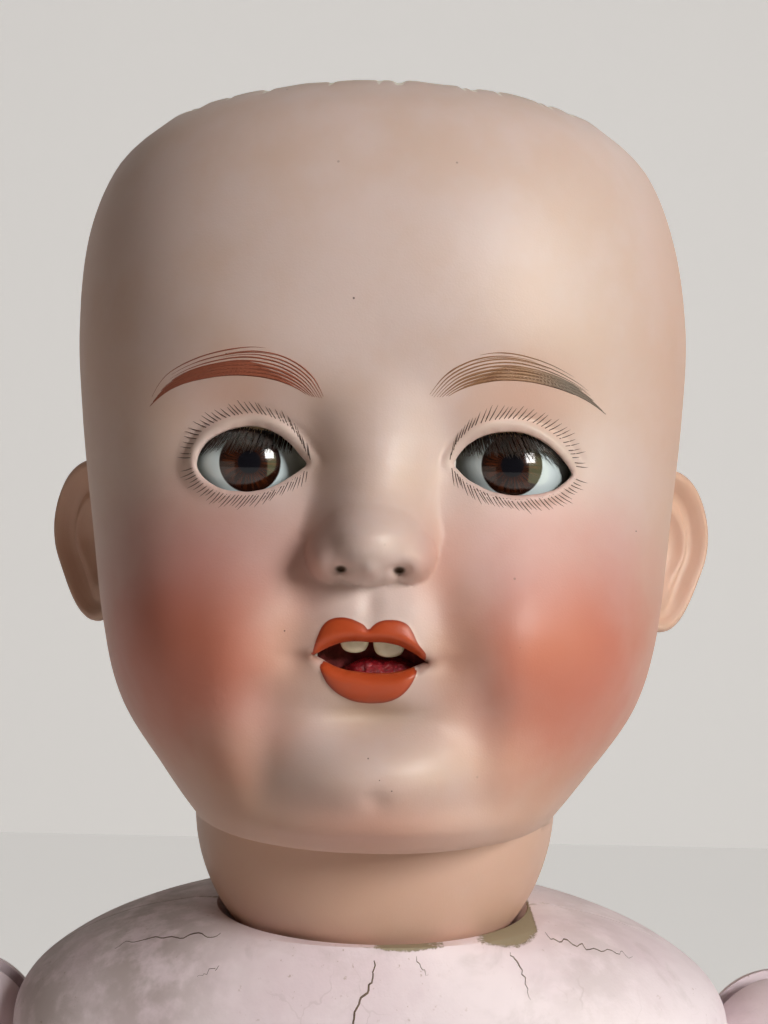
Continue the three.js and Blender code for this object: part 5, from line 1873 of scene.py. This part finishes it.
@dataclass
class Mouth:
    """Two teeth, a tongue, what they are set in, and a maroon cup of painted shade behind them."""

    inner_face: float = 67.0
    # how far each tooth reaches across, and how low it hangs
    teeth: tuple[tuple[Side, float, float, float], ...] = (
        (Side.RIGHT, -6.1, -0.6, 40.2),
        (Side.LEFT, 0.0, 6.0, 39.5),
    )
    tongue_across: float = 1.8
    tongue_width: float = 14.6
    tongue_thick: float = 7.0
    tongue_height: float = 36.0
    tongue_long: float = 11.6
    plaster_half: float = 10.2
    plaster_deep: float = 2.8
    plaster_tall: float = 7.8
    plaster_back: float = 61.1
    plaster_low: float = 43.2
    red_and_shade_cup_inner: Triple = (11.2, 3.4, 8.2)
    red_and_shade_cup_outer: Triple = (11.8, 4.0, 8.8)
    red_and_shade_cup_back: float = 63.6
    red_and_shade_cup_height: float = 39.4

    def tooth(self, start: float, end: float, low: float) -> Solid:
        """A tooth with a rounded biting edge and a bulging front."""
        half = (end - start) / 2
        rows = ((0.0, 0.25, 0.5), (0.2, 0.54, 0.72), (0.75, 0.8, 0.9), (1.9, 0.96, 1.0), (4.0, 1.0, 1.0),
                (6.4, 0.94, 0.9))
        made = loft(rows, 24, lambda up, wide, thick: section(
            wide * half, 1.15 * thick, 0.95 * thick, up, 40, 2.4))
        return made.moved((start + end) / 2, -self.inner_face + 1.4, low + NECK_HEIGHT)

    def tongue(self) -> Solid:
        """The tongue, its tip behind the lower lip."""
        rows = ((0.0, 0.3, 0.3), (0.03, 0.55, 0.55), (0.12, 0.82, 0.84), (0.4, 1.0, 1.0), (0.8, 0.85, 0.85),
                (1.0, 0.6, 0.6))

        def across(along: float, wide: float, thick: float) -> Array:
            """A section of it, with a groove along the top."""
            ring = section(wide * self.tongue_width / 2, 1.0, 1.0, along * self.tongue_long, 64)
            groove = 0.16 * bell(ring[:, 0] / 1.8) * (ring[:, 1] < 0)
            ring[:, 1] *= (thick - groove) * self.tongue_thick / 2
            return ring

        made = loft(rows, 40, across).turned(x=-90.0)
        return made.moved(self.tongue_across, -self.inner_face + 0.7, self.tongue_height + NECK_HEIGHT)

    def plaster(self) -> Solid:
        """The lump that holds the teeth, behind the upper lip."""
        rows = ((0.0, 0.9, 0.8), (0.1, 1.0, 1.0), (0.5, 1.0, 1.0), (0.9, 0.96, 0.95), (1.0, 0.84, 0.8))
        made = loft(rows, 16, lambda up, wide, deep: section(
            self.plaster_half * wide, self.plaster_deep * deep, self.plaster_deep * deep,
            self.plaster_tall * up, 48, 3.4))
        return made.moved(0.0, -self.plaster_back, self.plaster_low + NECK_HEIGHT)

    def red_and_shade_cup(self) -> Solid:
        """A maroon cup behind the teeth and the tongue: the mouth's red inside, and painted shade that keeps
        the light of the open crown out of the mouth.
        """
        outer = Solid.ball(1.0, 64)
        inner = Solid(outer.points * self.red_and_shade_cup_inner, outer.faces)
        outer = Solid(outer.points * self.red_and_shade_cup_outer, outer.faces)
        front = Solid.block((-30, -30, -30), (30, 0, 30))
        made = outer.cut(inner, front)
        return made.moved(0.0, -self.red_and_shade_cup_back, self.red_and_shade_cup_height + NECK_HEIGHT)

    def build(self) -> None:
        """Makes the mouth's inner pieces."""
        for side, start, end, low in self.teeth:
            tooth = self.tooth(start, end, low)
            tooth.publish(f"tooth_{side.suffix}", TOOTH, "head", f"upper_tooth_{side.suffix}")
        self.tongue().publish("felt_tongue", TONGUE, "head", "tongue")
        # painted shade behind the teeth and the tongue
        self.red_and_shade_cup().publish("mouth_red_and_shade_cup", RED_AND_SHADE_CUP, "head")
        self.plaster().publish("plaster_over_teeth", PLASTER, "head", "teeth_plaster")


@dataclass
class NeckFitting:
    """The button, hook, spring and nut that hold the head down in the body."""

    ball: float = 40.0
    wall: float = 4.0
    button_top: float = 24.0
    wire: float = 1.4
    ring: float = 3.6
    drop: float = 49.0
    coil: float = 6.0
    coil_wire: float = 0.9
    turns: int = 5
    pitch: float = 3.4
    nut: float = 5.5
    nut_height: float = 3.5

    def _nut_bottom(self) -> float:
        """Where the washer lies on the spring."""
        return -self.button_top + 2 * SEAT + self.turns * self.pitch + 2 * self.coil_wire

    def _shank(self, gap: float) -> Solid:
        """The hook's straight part, or the hole for it."""
        high = self._nut_bottom() + self.nut_height + self.wire + gap
        return Solid.peg(self.wire + gap, self.ring - self.drop - gap, high, 0.3, 24)

    def build(self) -> None:
        """Makes the fitting."""
        radius = self.ball - self.wall - SEAT
        above = Solid.block((-99, -99, -self.button_top), (99, 99, 99))
        button = Solid.ball(radius, 96).cut(above, self._shank(SEAT))
        hook = self._shank(0.0).joined(Solid.ring(self.ring, self.wire).moved(z=-self.drop))
        a = np.linspace(0, 2 * math.pi * self.turns, 40 * self.turns)
        rise = self.turns * self.pitch * a / a[-1] - self.button_top + SEAT + self.coil_wire
        around = np.stack([self.coil * np.cos(a), self.coil * np.sin(a), rise], 1)
        spring = Solid.tube(around, self.coil_wire, 12)
        low = self._nut_bottom()
        washer = Solid.peg(self.coil + self.coil_wire, low, low + self.nut_height / 3, 0.2, 40)
        nut = Solid.peg(self.nut, low, low + self.nut_height, 0.35, 6)
        nut = washer.joined(nut).cut(self._shank(SEAT / 2))
        for kind, made, look in (("button", button, WOOD), ("hook", hook, STEEL),
                                 ("spring", spring, STEEL), ("nut", nut, STEEL)):
            made = made.moved(z=NECK_HEIGHT)
            made.publish(f"turned_neck_{kind}", look, "neck_fitting", f"neck_{kind}")


# Body


@dataclass
class Torso:
    """The composition body, pressed in a front and a back half."""

    half_width: float = 80.0
    half_depth: float = 54.0
    wall: float = 6.0
    cup_wall: float = 4.0
    cup_lift: float = 2.5
    bottom: float = 232.0
    height: float = 236.0
    shoulder: Triple = SHOULDER
    hip: Triple = HIP
    shoulder_ball: float = 19.0
    hip_ball: float = 33.0
    neck_ball: float = 40.0
    neck_hole: float = 9.0
    cord_hole: float = 5.5
    # how far the holes for the cords run from the balls' centres
    neck_run: float = 56.0
    arm_run: float = 29.4
    leg_run: float = 44.0
    power: float = 2.2
    # shares from the crotch to the rim: height, half width, front, back
    shares: tuple[tuple[float, float, float, float], ...] = (
        (0, 0.3, 0.36, 0.38), (0.05, 0.62, 0.52, 0.66), (0.14, 0.9, 0.66, 0.96), (0.28, 0.965, 0.87, 1),
        (0.42, 0.93, 1, 0.88), (0.56, 0.885, 0.99, 0.8), (0.7, 0.9, 0.93, 0.86), (0.82, 0.965, 0.88, 0.93),
        (0.885, 1, 0.85, 0.9), (0.93, 0.96, 0.82, 0.84), (0.965, 0.83, 0.76, 0.77),
        (0.988, 0.67, 0.71, 0.71), (1, 0.5, 0.69, 0.69),
    )
    # how far a thigh is bent and turned out where it goes in its socket
    hip_poses: Flat = ((12, -15), (12, 0), (0, 0), (-15, 0), (-30, 0), (-45, 0), (-60, 0), (-75, 0),
                       (-49, 15), (-75, 15))

    def form(self, depth: float, count: int, sides: int) -> Solid:
        """The body's surface, or one drawn in from it by a depth."""
        tall = self.height - 2 * depth
        return loft(self.shares, count, lambda up, width, front, back: section(
            width * self.half_width - depth, front * self.half_depth - depth,
            back * self.half_depth - depth, self.bottom + depth + up * tall, sides, self.power))

    def _hip_room(self) -> Solid:
        """The space that a thigh takes in its socket as it turns."""
        radius = self.hip_ball + RUNNING
        shaft = Solid.rod(radius + 0.1, -3 * self.hip_ball, 0.0, 96)
        made = Solid.ball(radius, 96)
        return made.joined(*(shaft.turned(x=bend, z=out) for bend, out in self.hip_poses))

    def whole(self) -> Solid:
        """The hollow body with its sockets, in one."""
        cup = self.neck_ball + SEAT + self.cup_lift
        centre = NECK_HEIGHT + self.cup_lift
        shoulder = self.shoulder_ball + RUNNING
        hip = self.hip_ball + RUNNING
        cups = [Solid.ball(cup + self.cup_wall, 96).moved(z=centre)]
        hook_hole = Solid.rod(self.neck_hole, centre - self.neck_run, centre, 48)
        cuts = [Solid.ball(cup, 128).moved(z=centre), hook_hole]
        room = self._hip_room()
        for side in Side:
            for radius, place in ((shoulder, self.shoulder), (hip, self.hip)):
                cups.append(Solid.ball(radius + self.cup_wall, 72).moved(*place).placed(side))
            hole = Solid.rod(self.cord_hole, -self.arm_run, 0, 36).turned(y=90.0)
            cuts.append(Solid.ball(shoulder, 72).moved(*self.shoulder).placed(side))
            cuts.append(hole.moved(*self.shoulder).placed(side))
            cuts.append(room.moved(*self.hip).placed(side))
            cuts.append(Solid.rod(self.cord_hole, 0, self.leg_run, 36).moved(*self.hip).placed(side))
        hollow = self.form(self.wall, 40, 72).cut(*cups)
        return self.form(0.0, 120, 144).cut(hollow, *cuts)

    def cracks(self, surface: BVHTree) -> Solid:
        """Cracks in the paint of the shoulders and the chest."""
        lines = (
            ((1.2, 466.0), (0.4, 461.4), (-1.9, 457.9), (-3.2, 452.0), (-6.8, 444.0), (-6.0, 436.0)),
            ((28.7, 466.0), (31.0, 463.6), (32.7, 458.5)),
            ((9.6, 466.2), (11.6, 463.2)),
            ((-31.0, 467.3), (-43.7, 465.4), (-54.5, 462.2)),
            ((-30.4, 462.8), (-34.8, 461.0)),
            ((37.0, 467.2), (46.0, 464.8), (56.0, 462.0)),
        )
        maker = np.random.default_rng(5)
        strokes = []
        for line in lines:
            dense = catmull(np.array(line), np.linspace(0, len(line) - 1, 5 * len(line)))
            dense = dense + maker.normal(0, 0.22, dense.shape)
            width = (0.42, 0.22, 0.16, 0.12, 0.1, 0.12)[len(strokes)]
            strokes.append(Stroke([tuple(p) for p in dense], width, 0.4, 0.2))
        return Brush(surface, 0.03).lay(strokes)

    def build(self) -> None:
        """Makes both halves and the cracks."""
        whole = self.whole()
        for name, low, high in (("front", -200.0, -SEAT / 2), ("back", SEAT / 2, 200.0)):
            half = whole.shared(Solid.block((-300, low, 100), (300, high, 600)))
            half.publish(f"body_{name}", BODY_PAINT, "torso", f"torso_{name}", crease=38.0)
        surface = BVHTree.FromPolygons(whole.points.tolist(), whole.faces)
        self.cracks(surface).publish("body_cracks", CRACK, "torso", crease=180.0)


@dataclass
class Stringing:
    """Elastic, hooks and pins that hold the limbs on."""

    ring: float = 3.6
    wire: float = 1.4
    elastic: float = 2.1
    arm_cavity: float = 6.5
    leg_cavity: float = 7.0
    arm_reach: float = 28.7
    leg_reach: float = 45.4
    shoulder: Triple = SHOULDER
    hip: Triple = HIP
    drop: float = 49.0

    def hook(self, reach: float) -> Solid:
        """A hook from the ring on its pin up to the ring outside the ball."""
        shank = Solid.peg(self.wire, self.ring, reach - self.ring, 0.1, 20)
        eyelet = Solid.ring(self.ring, self.wire)
        return shank.joined(eyelet, eyelet.moved(z=reach))

    def pin(self, cavity: float) -> Solid:
        """A pin along X through a ball's centre."""
        half = cavity + 2 * self.wire
        return Solid.peg(self.ring - self.wire - SEAT, -half, half, 0.3, 28).turned(y=90.0)

    def build(self) -> None:
        """Makes them all."""
        room = self.ring + self.wire + SEAT
        end = self.shoulder[0] - self.arm_reach - room
        arm = Solid.peg(self.elastic, -end, end, 0.4, 20).turned(y=90.0).moved(0.0, *self.shoulder[1:])
        arm.publish("arm_cord", CORD, "torso", "arm_elastic")
        top = NECK_HEIGHT - self.drop - room - self.elastic
        low = self.hip[2] + self.leg_reach + room
        rise, x, y = top - low, self.hip[0], self.hip[1]
        half = [(x, y, low), (0.97 * x, y, low + 0.06 * rise), (0.55 * x, 0.6 * y, low + 0.5 * rise),
                (0.12 * x, 0.0, top - 0.05 * rise)]
        path = [*half, (0.0, 0.0, top), *((-a, b, c) for a, b, c in half[::-1])]
        loop = Solid.tube(catmull(path, np.linspace(0, 8, 120)), self.elastic, 20)
        loop.publish("leg_cord", CORD, "torso", "leg_elastic")
        for side in Side:
            name = side.suffix
            hook = self.hook(self.arm_reach).turned(z=-90.0).turned(y=8.0 - 90.0).turned(y=-8.0)
            pin = self.pin(self.arm_cavity).turned(z=-90.0).turned(y=-90.0).turned(y=-8.0)
            places = (
                ("arm_hook", hook.moved(*self.shoulder), f"arm_link_{name}"),
                ("arm_pin", pin.moved(*self.shoulder), f"upper_arm_{name}"),
                ("leg_hook", self.hook(self.leg_reach).moved(*self.hip), f"leg_link_{name}"),
                ("leg_pin", self.pin(self.leg_cavity).moved(*self.hip), f"thigh_{name}"),
            )
            for kind, made, body in places:
                made.placed(side).publish(f"steel_{kind}_{name}", STEEL, body, f"{kind}_{name}")


def swept(radius: float, start: float, reach: float, bends: Iterable[float]) -> Solid:
    """The space that a round limb takes as it bends about X."""
    shaft = Solid.rod(radius, -reach, -start, 64)
    first, *rest = (shaft.turned(x=bend) for bend in bends)
    return first.joined(*rest)


def hook_room(cavity: float, radius: float, start: float, end: float, half_slot: float, pin: float) -> Solid:
    """The hollow in a ball: a chamber, a slot between angles from up to the back, and a bore."""
    bore = Solid.rod(pin, -cavity - 2.95, cavity + 2.95, 28).turned(y=90.0)
    return Solid.ball(cavity, 36).joined(Solid.wedge(radius + OVERRUN, start, end, 2 * half_slot), bore)


def hang(start: Triple, spread: float, side: Side,
         pieces: Iterable[tuple[str, Solid, float, Look, str]]) -> None:
    """Hangs a limb's pieces on the body.

    Args:
        start: Where the limb starts.
        spread: How far it leans out, in degrees.
        side: The side that it is on.
        pieces: Each one's node, its solid, how far down it starts, its finish and its body.
    """
    name = side.suffix
    for node, made, down, look, body in pieces:
        made = made.moved(z=-down).turned(y=-spread).moved(*start).placed(side)
        made.publish(f"doll_{node}_{name}", look, f"{body}_{name}", f"{node}_{name}", crease=38.0)


@dataclass
class Arm:
    """Upper arm, elbow ball, forearm and hand."""

    shoulder: Triple = SHOULDER
    spread: float = 8.0
    upper_length: float = 80.0
    fore_length: float = 64.0
    palm_length: float = 27.0
    palm_half: float = 15.0
    palm_thick: float = 7.5
    finger_length: float = 19.0
    finger: float = 3.6
    thumb: float = 4.0
    thumb_length: float = 17.0
    shoulder_ball: float = 19.0
    elbow_ball: float = 14.0
    wrist_ball: float = 9.5
    upper_radius: float = 17.5
    fore_radius: float = 16.0
    flex: float = 95.0
    raised: float = 80.0
    cavity: float = 6.5
    upper_rim: float = 7.0
    fore_rim: float = 6.5
    bore: float = 2.6
    pin_bore: float = 2.05
    margin: float = 25.0
    upper_shares: Flat = (
        (-0.91, 0.86), (-0.75, 0.92), (-0.5, 0.98), (-0.25, 0.99), (-0.08, 0.93))
    fore_shares: Flat = (
        (-0.945, 0.68), (-0.85, 0.72), (-0.6, 0.88), (-0.35, 0.99), (-0.1, 0.97))
    palm_shares: tuple[Triple, ...] = (
        (-1, 0.93, 0.7), (-0.75, 1, 0.95), (-0.4, 0.95, 1), (-0.15, 0.66, 0.95), (0, 0.5, 0.85))
    finger_shares: Flat = ((-0.76, 0.86), (-0.26, 1), (0.26, 0.95), (0.76, 0.75))

    def upper_arm(self) -> Solid:
        """The upper arm, from the shoulder's centre down."""
        form = barrel(self.upper_shares, 40, self.upper_radius,
                      lambda down: max(down * self.upper_length, self.upper_rim - self.upper_length), 72)
        bends = np.linspace(0, -self.flex, 9)
        fore = swept(self.fore_radius + RUNNING, self.fore_rim - RUNNING, 48, bends)
        elbow = Solid.ball(self.elbow_ball + RUNNING, 64).joined(fore).moved(z=-self.upper_length)
        room = hook_room(self.cavity, self.shoulder_ball, -self.margin, self.raised + self.margin,
                         self.bore, self.pin_bore)
        bore = Solid.rod(self.bore, -self.upper_length, 0, 24)
        ball = Solid.ball(self.shoulder_ball, 72).joined(form)
        return ball.cut(elbow, room.turned(z=-90.0).turned(y=-90.0), bore)

    def elbow(self) -> Solid:
        """The ball in the elbow."""
        slot = Solid.wedge(self.elbow_ball + OVERRUN, -self.flex - self.margin, self.margin, 2 * self.bore)
        bore = Solid.rod(self.bore, -self.elbow_ball - OVERRUN, 0, 24)
        return Solid.ball(self.elbow_ball, 64).cut(slot, bore)

    def forearm(self) -> Solid:
        """The forearm, from the elbow's centre down."""
        form = barrel(self.fore_shares, 40, self.fore_radius,
                      lambda down: min(down * self.fore_length, -self.fore_rim), 72)
        wrist = Solid.ball(self.wrist_ball + RUNNING, 48).moved(z=-self.fore_length)
        bore = Solid.rod(self.bore, -self.fore_length, 0, 24)
        return form.cut(Solid.ball(self.elbow_ball + RUNNING, 64), wrist, bore)

    def _digit(self, length: float, radius: float) -> Solid:
        """A finger, from its tip up to its root."""
        rows = ((0, 0.4), (0.04, 0.72), (0.12, 0.93), (0.3, 1.0), (0.45, 0.96), (0.58, 1.02), (1, 1.06))
        return barrel(rows, 30, radius, lambda up: (up - 1) * length, 28)

    def hand(self) -> Solid:
        """The hand, from the wrist's centre down, its palm towards the body."""
        palm = loft(self.palm_shares, 24, lambda down, wide, thick: section(
            thick * self.palm_thick, wide * self.palm_half, wide * self.palm_half,
            down * self.palm_length, 48))
        digits = []
        for across, long in self.finger_shares:
            finger = self._digit(long * self.finger_length + self.palm_thick, self.finger)
            finger = finger.turned(x=12 * across, y=14)
            digits.append(finger.moved(0, across * self.palm_half, self.palm_thick - self.palm_length))
        thumb = self._digit(self.thumb_length + self.palm_thick, self.thumb).turned(x=-38, y=18)
        digits.append(thumb.moved(-0.3 * self.palm_thick, -0.55 * self.palm_half, -0.3 * self.palm_length))
        return Solid.ball(self.wrist_ball, 48).joined(palm, *digits).melted(0.6, 5)

    def build(self, side: Side) -> None:
        """Makes the arm of one side."""
        elbow, wrist = self.upper_length, self.upper_length + self.fore_length
        hang(self.shoulder, self.spread, side, (
            ("upper_arm", self.upper_arm(), 0.0, LIMB_PAINT, "upper_arm"),
            ("elbow_ball", self.elbow(), elbow, WOOD, "elbow"),
            ("forearm", self.forearm(), elbow, LIMB_PAINT, "forearm"),
            ("hand", self.hand(), wrist, LIMB_PAINT, "hand"),
        ))


@dataclass
class Leg:
    """Thigh, knee ball and the lower leg with its foot."""

    hip: Triple = HIP
    thigh_length: float = 122.0
    knee_height: float = 140.0
    hip_ball: float = 33.0
    knee_ball: float = 20.0
    shin_radius: float = 26.0
    swing: float = 75.0
    swing_back: float = 12.0
    flex: float = 95.0
    cavity: float = 7.0
    thigh_rim: float = 9.0
    shin_rim: float = 8.0
    toe_reach: float = 56.0
    heel_reach: float = 24.0
    foot_half: float = 18.5
    toe: float = 5.0
    bore: float = 2.6
    pin_bore: float = 2.05
    margin: float = 25.0
    thigh_shares: Flat = (
        (-0.93, 0.76), (-0.8, 0.8), (-0.55, 0.93), (-0.3, 0.99), (-0.1, 1.0))
    shin_shares: tuple[tuple[float, float, float, float], ...] = (
        (-1, 0.64, 0.93, 0.86), (-0.985, 0.7, 0.98, 0.97), (-0.92, 0.7, 0.97, 1), (-0.87, 0.66, 0.78, 0.95),
        (-0.81, 0.6, 0.4, 0.78), (-0.74, 0.64, 0.31, 0.74), (-0.6, 0.8, 0.36, 0.92),
        (-0.38, 0.98, 0.44, 1.1), (-0.2, 0.98, 0.45, 1.03), (-0.05, 0.93, 0.43, 0.98))
    # place across the foot, how far ahead, and size of each toe
    toes: tuple[Triple, ...] = (
        (-0.62, 0.97, 1.15), (-0.24, 0.99, 0.9), (0.08, 0.96, 0.82), (0.36, 0.9, 0.76), (0.6, 0.82, 0.7))

    def thigh(self) -> Solid:
        """The thigh, from the hip's centre down."""
        form = barrel(self.thigh_shares, 48, self.hip_ball,
                      lambda down: max(down * self.thigh_length, self.thigh_rim - self.thigh_length), 96)
        shin = swept(self.shin_radius + RUNNING, self.shin_rim - RUNNING, 78, np.linspace(0, self.flex, 9))
        knee = Solid.ball(self.knee_ball + RUNNING, 72).joined(shin).moved(z=-self.thigh_length)
        room = hook_room(self.cavity, self.hip_ball, -self.swing - self.margin,
                         self.swing_back + self.margin, self.bore, self.pin_bore)
        bore = Solid.rod(self.bore, -self.thigh_length, 0, 24)
        return Solid.ball(self.hip_ball, 96).joined(form).cut(knee, room, bore)

    def knee(self) -> Solid:
        """The ball in the knee."""
        slot = Solid.wedge(self.knee_ball + OVERRUN, -self.margin, self.flex + self.margin, 2 * self.bore)
        bore = Solid.rod(self.bore, -self.knee_ball - OVERRUN, 0, 24)
        return Solid.ball(self.knee_ball, 72).cut(slot, bore)

    def shin(self) -> Solid:
        """The lower leg and its foot, from the knee's centre down."""
        form = loft(self.shin_shares, 90, lambda down, wide, front, back: section(
            wide * self.shin_radius, front * self.toe_reach, back * self.heel_reach,
            max(-self.knee_height, min(down * self.knee_height, -self.shin_rim)), 96))
        toes = []
        for across, ahead, big in self.toes:
            r = big * self.toe
            toe = Solid.ball(r, 32)
            toes.append(toe.moved(across * self.foot_half, -ahead * self.toe_reach, r - self.knee_height))
        foot = form.joined(*toes).melted(1.0, 3).moved(z=-0.5)
        sole = Solid.block((-60, -90, -self.knee_height - 20), (60, 60, -self.knee_height))
        bore = Solid.rod(self.bore, -0.6 * self.knee_height, 0, 24)
        return foot.cut(sole, Solid.ball(self.knee_ball + RUNNING, 72), bore)

    def build(self, side: Side) -> None:
        """Makes the leg of one side."""
        hang(self.hip, 0.0, side, (
            ("thigh", self.thigh(), 0.0, LIMB_PAINT, "thigh"),
            ("knee_ball", self.knee(), self.thigh_length, WOOD, "knee"),
            ("shin", self.shin(), self.thigh_length, LIMB_PAINT, "shin"),
        ))


@dataclass
class HeadInside:
    """The cork stop and the plaster that carries the eyes' pivots."""

    cork_half: float = 7.0
    cork_deep: float = 16.4
    cork_low: float = 19.3
    cork_tall: float = 9.8
    cork_back: float = 45.9
    # how far the weight swings over the cork, in degrees
    swing: float = 21.0
    lump_half: float = 5.9
    lump_deep: float = 4.8
    lump_start: float = 37.4
    lump_long: float = 9.6
    lump_back: float = 48.4
    # how far the pivot's bore lies ahead of the lump's middle
    bore_ahead: float = 1.1
    pivot_bore: float = 2.0

    def cork(self, eyes: SleepEyes, hollow: Solid) -> Solid:
        """The cork that the weight rests on, cut clear of the weight's swing."""
        half = eyes.weight_length / 2 + SEAT
        weight = Solid.rod(eyes.weight_radius + SEAT, -eyes.stem() - half, -eyes.stem() + half, 48)
        weight = weight.turned(x=eyes.stem_lean)
        angles = np.linspace(0, self.swing, 8)
        swings = [weight.turned(x=a).moved(0, -eyes.forward, eyes.height) for a in angles]
        rows = ((0.0, 0.88), (0.08, 1.0), (0.92, 1.0), (1.0, 0.88))
        stop = loft(rows, 12, lambda up, wide: section(
            self.cork_half * wide, self.cork_deep, self.cork_deep,
            self.cork_low + self.cork_tall * up, 48, 4.0)).moved(0, -self.cork_back, 0)
        return stop.shared(hollow).cut(*swings).moved(z=NECK_HEIGHT)

    def lump(self, eyes: SleepEyes, hollow: Solid, side: Side) -> Solid:
        """A lump of plaster at the end of an eye's pivot."""
        rows = ((0.0, 0.72), (0.12, 0.92), (0.4, 1.0), (1.0, 1.0))
        body = loft(rows, 14, lambda along, wide: section(
            self.lump_half * wide, self.lump_deep * wide, self.lump_deep * wide,
            self.lump_start + self.lump_long * along, 40, 2.8))
        bore = Solid.rod(self.pivot_bore, 20, 60, 28).turned(y=90.0).moved(0, -self.bore_ahead, 0)
        body = body.turned(y=90.0).cut(bore).moved(0, -self.lump_back, eyes.height)
        return body.shared(hollow).moved(z=NECK_HEIGHT).placed(side)

    def build(self, eyes: SleepEyes, hollow: Solid) -> None:
        """Makes them.

        Args:
            eyes: The eyes that they serve.
            hollow: The space inside the head.
        """
        self.cork(eyes, hollow).publish("cork_rest", CORK, "head", "cork_stop")
        for side in Side:
            lump = self.lump(eyes, hollow, side)
            lump.publish(f"pivot_plaster_{side.suffix}", PLASTER, "head", f"eye_plaster_{side.suffix}")


# Studio


@dataclass(frozen=True)
class Paper(Look):
    """Pale paper that shines a little by itself where it is seen, straight or through another thing."""

    lift: float = 0.5
    name = "studio_paper"

    def build(self, paint: Paint) -> None:
        """Builds its nodes.

        Args:
            paint: The material's nodes.
        """
        tone = paint.noise(90.0, 3.0) * 0.02 + 0.49
        paint.colour(paint.mix((228, 226, 222), (236, 234, 230), tone))
        paint.set(Roughness=0.9, Specular_IOR_Level=0.1, Emission_Color=(0.93, 0.92, 0.9, 1.0))
        rays = paint.node("LightPath").outputs
        eye, glossy, clear = (Value(paint.tree, rays[f"Is {kind} Ray"]) for kind in
                              ("Camera", "Glossy", "Transmission"))
        lift = eye.most(glossy).most(clear) * self.lift
        paint.tree.links.new(lift.source, paint.shader.inputs["Emission Strength"])


@dataclass
class Studio:
    """Floor, backdrop, light and camera."""

    distance: float = 340.0
    aside: float = 0.9
    eye_level: float = 66.0
    turn: float = 0.6
    roll: float = 1.1
    focal: float = 1500.0

    def camera(self) -> None:
        """Places the camera where the photograph was taken from."""
        a, b = math.radians(self.turn), math.radians(self.roll)
        right = Vector((math.cos(a), math.sin(a), 0.0))
        ahead = Vector((-math.sin(a), math.cos(a), 0.0))
        up = Vector((0.0, 0.0, 1.0))
        across = right * math.cos(b) + up * math.sin(b)
        upright = up * math.cos(b) - right * math.sin(b)
        place = right * self.aside - ahead * self.distance
        place.z = NECK_HEIGHT + self.eye_level
        data = bpy.data.cameras.new("camera")
        data.lens = 36.0 * self.focal / 1024.0
        data.clip_start = 0.01
        made = bpy.data.objects.new("camera", data)
        frame = Matrix((across, upright, -ahead)).transposed().to_4x4()
        made.matrix_world = Matrix.Translation(place * MM) @ frame
        bpy.context.scene.collection.objects.link(made)
        bpy.context.scene.camera = made

    def lamp(self, name: str, place: Triple, size: float, power: float,
             tint: Colour = (1.0, 1.0, 1.0)) -> bpy.types.Object:
        """Hangs a soft square lamp that faces the head.

        Args:
            name: Its name.
            place: Where it hangs, in metres.
            size: The length of its sides.
            power: Its power in watts.
            tint: Its colour.

        Returns:
            The lamp.
        """
        data = bpy.data.lights.new(name, "AREA")
        data.size = size
        data.energy = power
        data.color = tint
        made = bpy.data.objects.new(name, data)
        made.location = place
        aim = Vector((0.0, 0.0, 0.54)) - Vector(place)
        made.rotation_euler = aim.to_track_quat("-Z", "Y").to_euler()
        bpy.context.scene.collection.objects.link(made)
        return made

    def ground(self) -> None:
        """Lays the floor and hangs the backdrop."""
        for name, low, high in (("floor", (-6000, -6000, -20), (6000, 6000, 0)),
                                ("backdrop", (-6000, 2200, 0), (6000, 2230, 6000))):
            made = Solid.block(low, high)
            make_object(name, made.points, made.faces, Paper(), 32.0)

    def build(self) -> None:
        """Sets up the whole studio."""
        self.camera()
        self.ground()
        self.lamp("key_lamp", (0.9, -1.0, 1.05), 0.4, 16.6, (1.0, 0.98, 0.96))
        window = self.lamp("window_lamp", (1.22, -0.74, 0.62), 1.1, 22.0, (0.62, 0.64, 0.34))
        window.data.shape = "RECTANGLE"
        window.data.size_y = 2.0
        window.visible_diffuse = False
        self.lamp("fill_lamp", (-0.95, -1.2, 0.22), 1.0, 2.0, (1.0, 0.8, 0.66))
        scene = bpy.context.scene
        scene.view_settings.view_transform = "Standard"
        world = bpy.data.worlds.new("studio")
        scene.world = world
        world.use_nodes = True
        background = world.node_tree.nodes["Background"]
        background.inputs["Color"].default_value = (1.0, 0.76, 0.62, 1.0)
        background.inputs["Strength"].default_value = 0.07


def main() -> None:
    """Builds the doll and its studio."""
    logging.basicConfig(level=logging.INFO)
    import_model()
    Studio().build()
    head = BisqueHead()
    head.build()
    for side in Side:
        Ear().build(head.form, side)
    brush = Brush(head.surface)
    face = FacePaint()
    brush.lay(face.brows()).publish("painted_brows", BrowPaint(), "head", crease=180.0)
    brush.lay(face.lashes()).publish("painted_lashes", LASH_PAINT, "head", crease=180.0)
    eyes = SleepEyes()
    eyes.build()
    HeadInside().build(eyes, head.hollow(SEAT))
    for part in (Mouth(), NeckFitting(), Torso(), Stringing()):
        part.build()
    for side in Side:
        Arm().build(side)
        Leg().build(side)


if __name__ == "__main__":
    main()
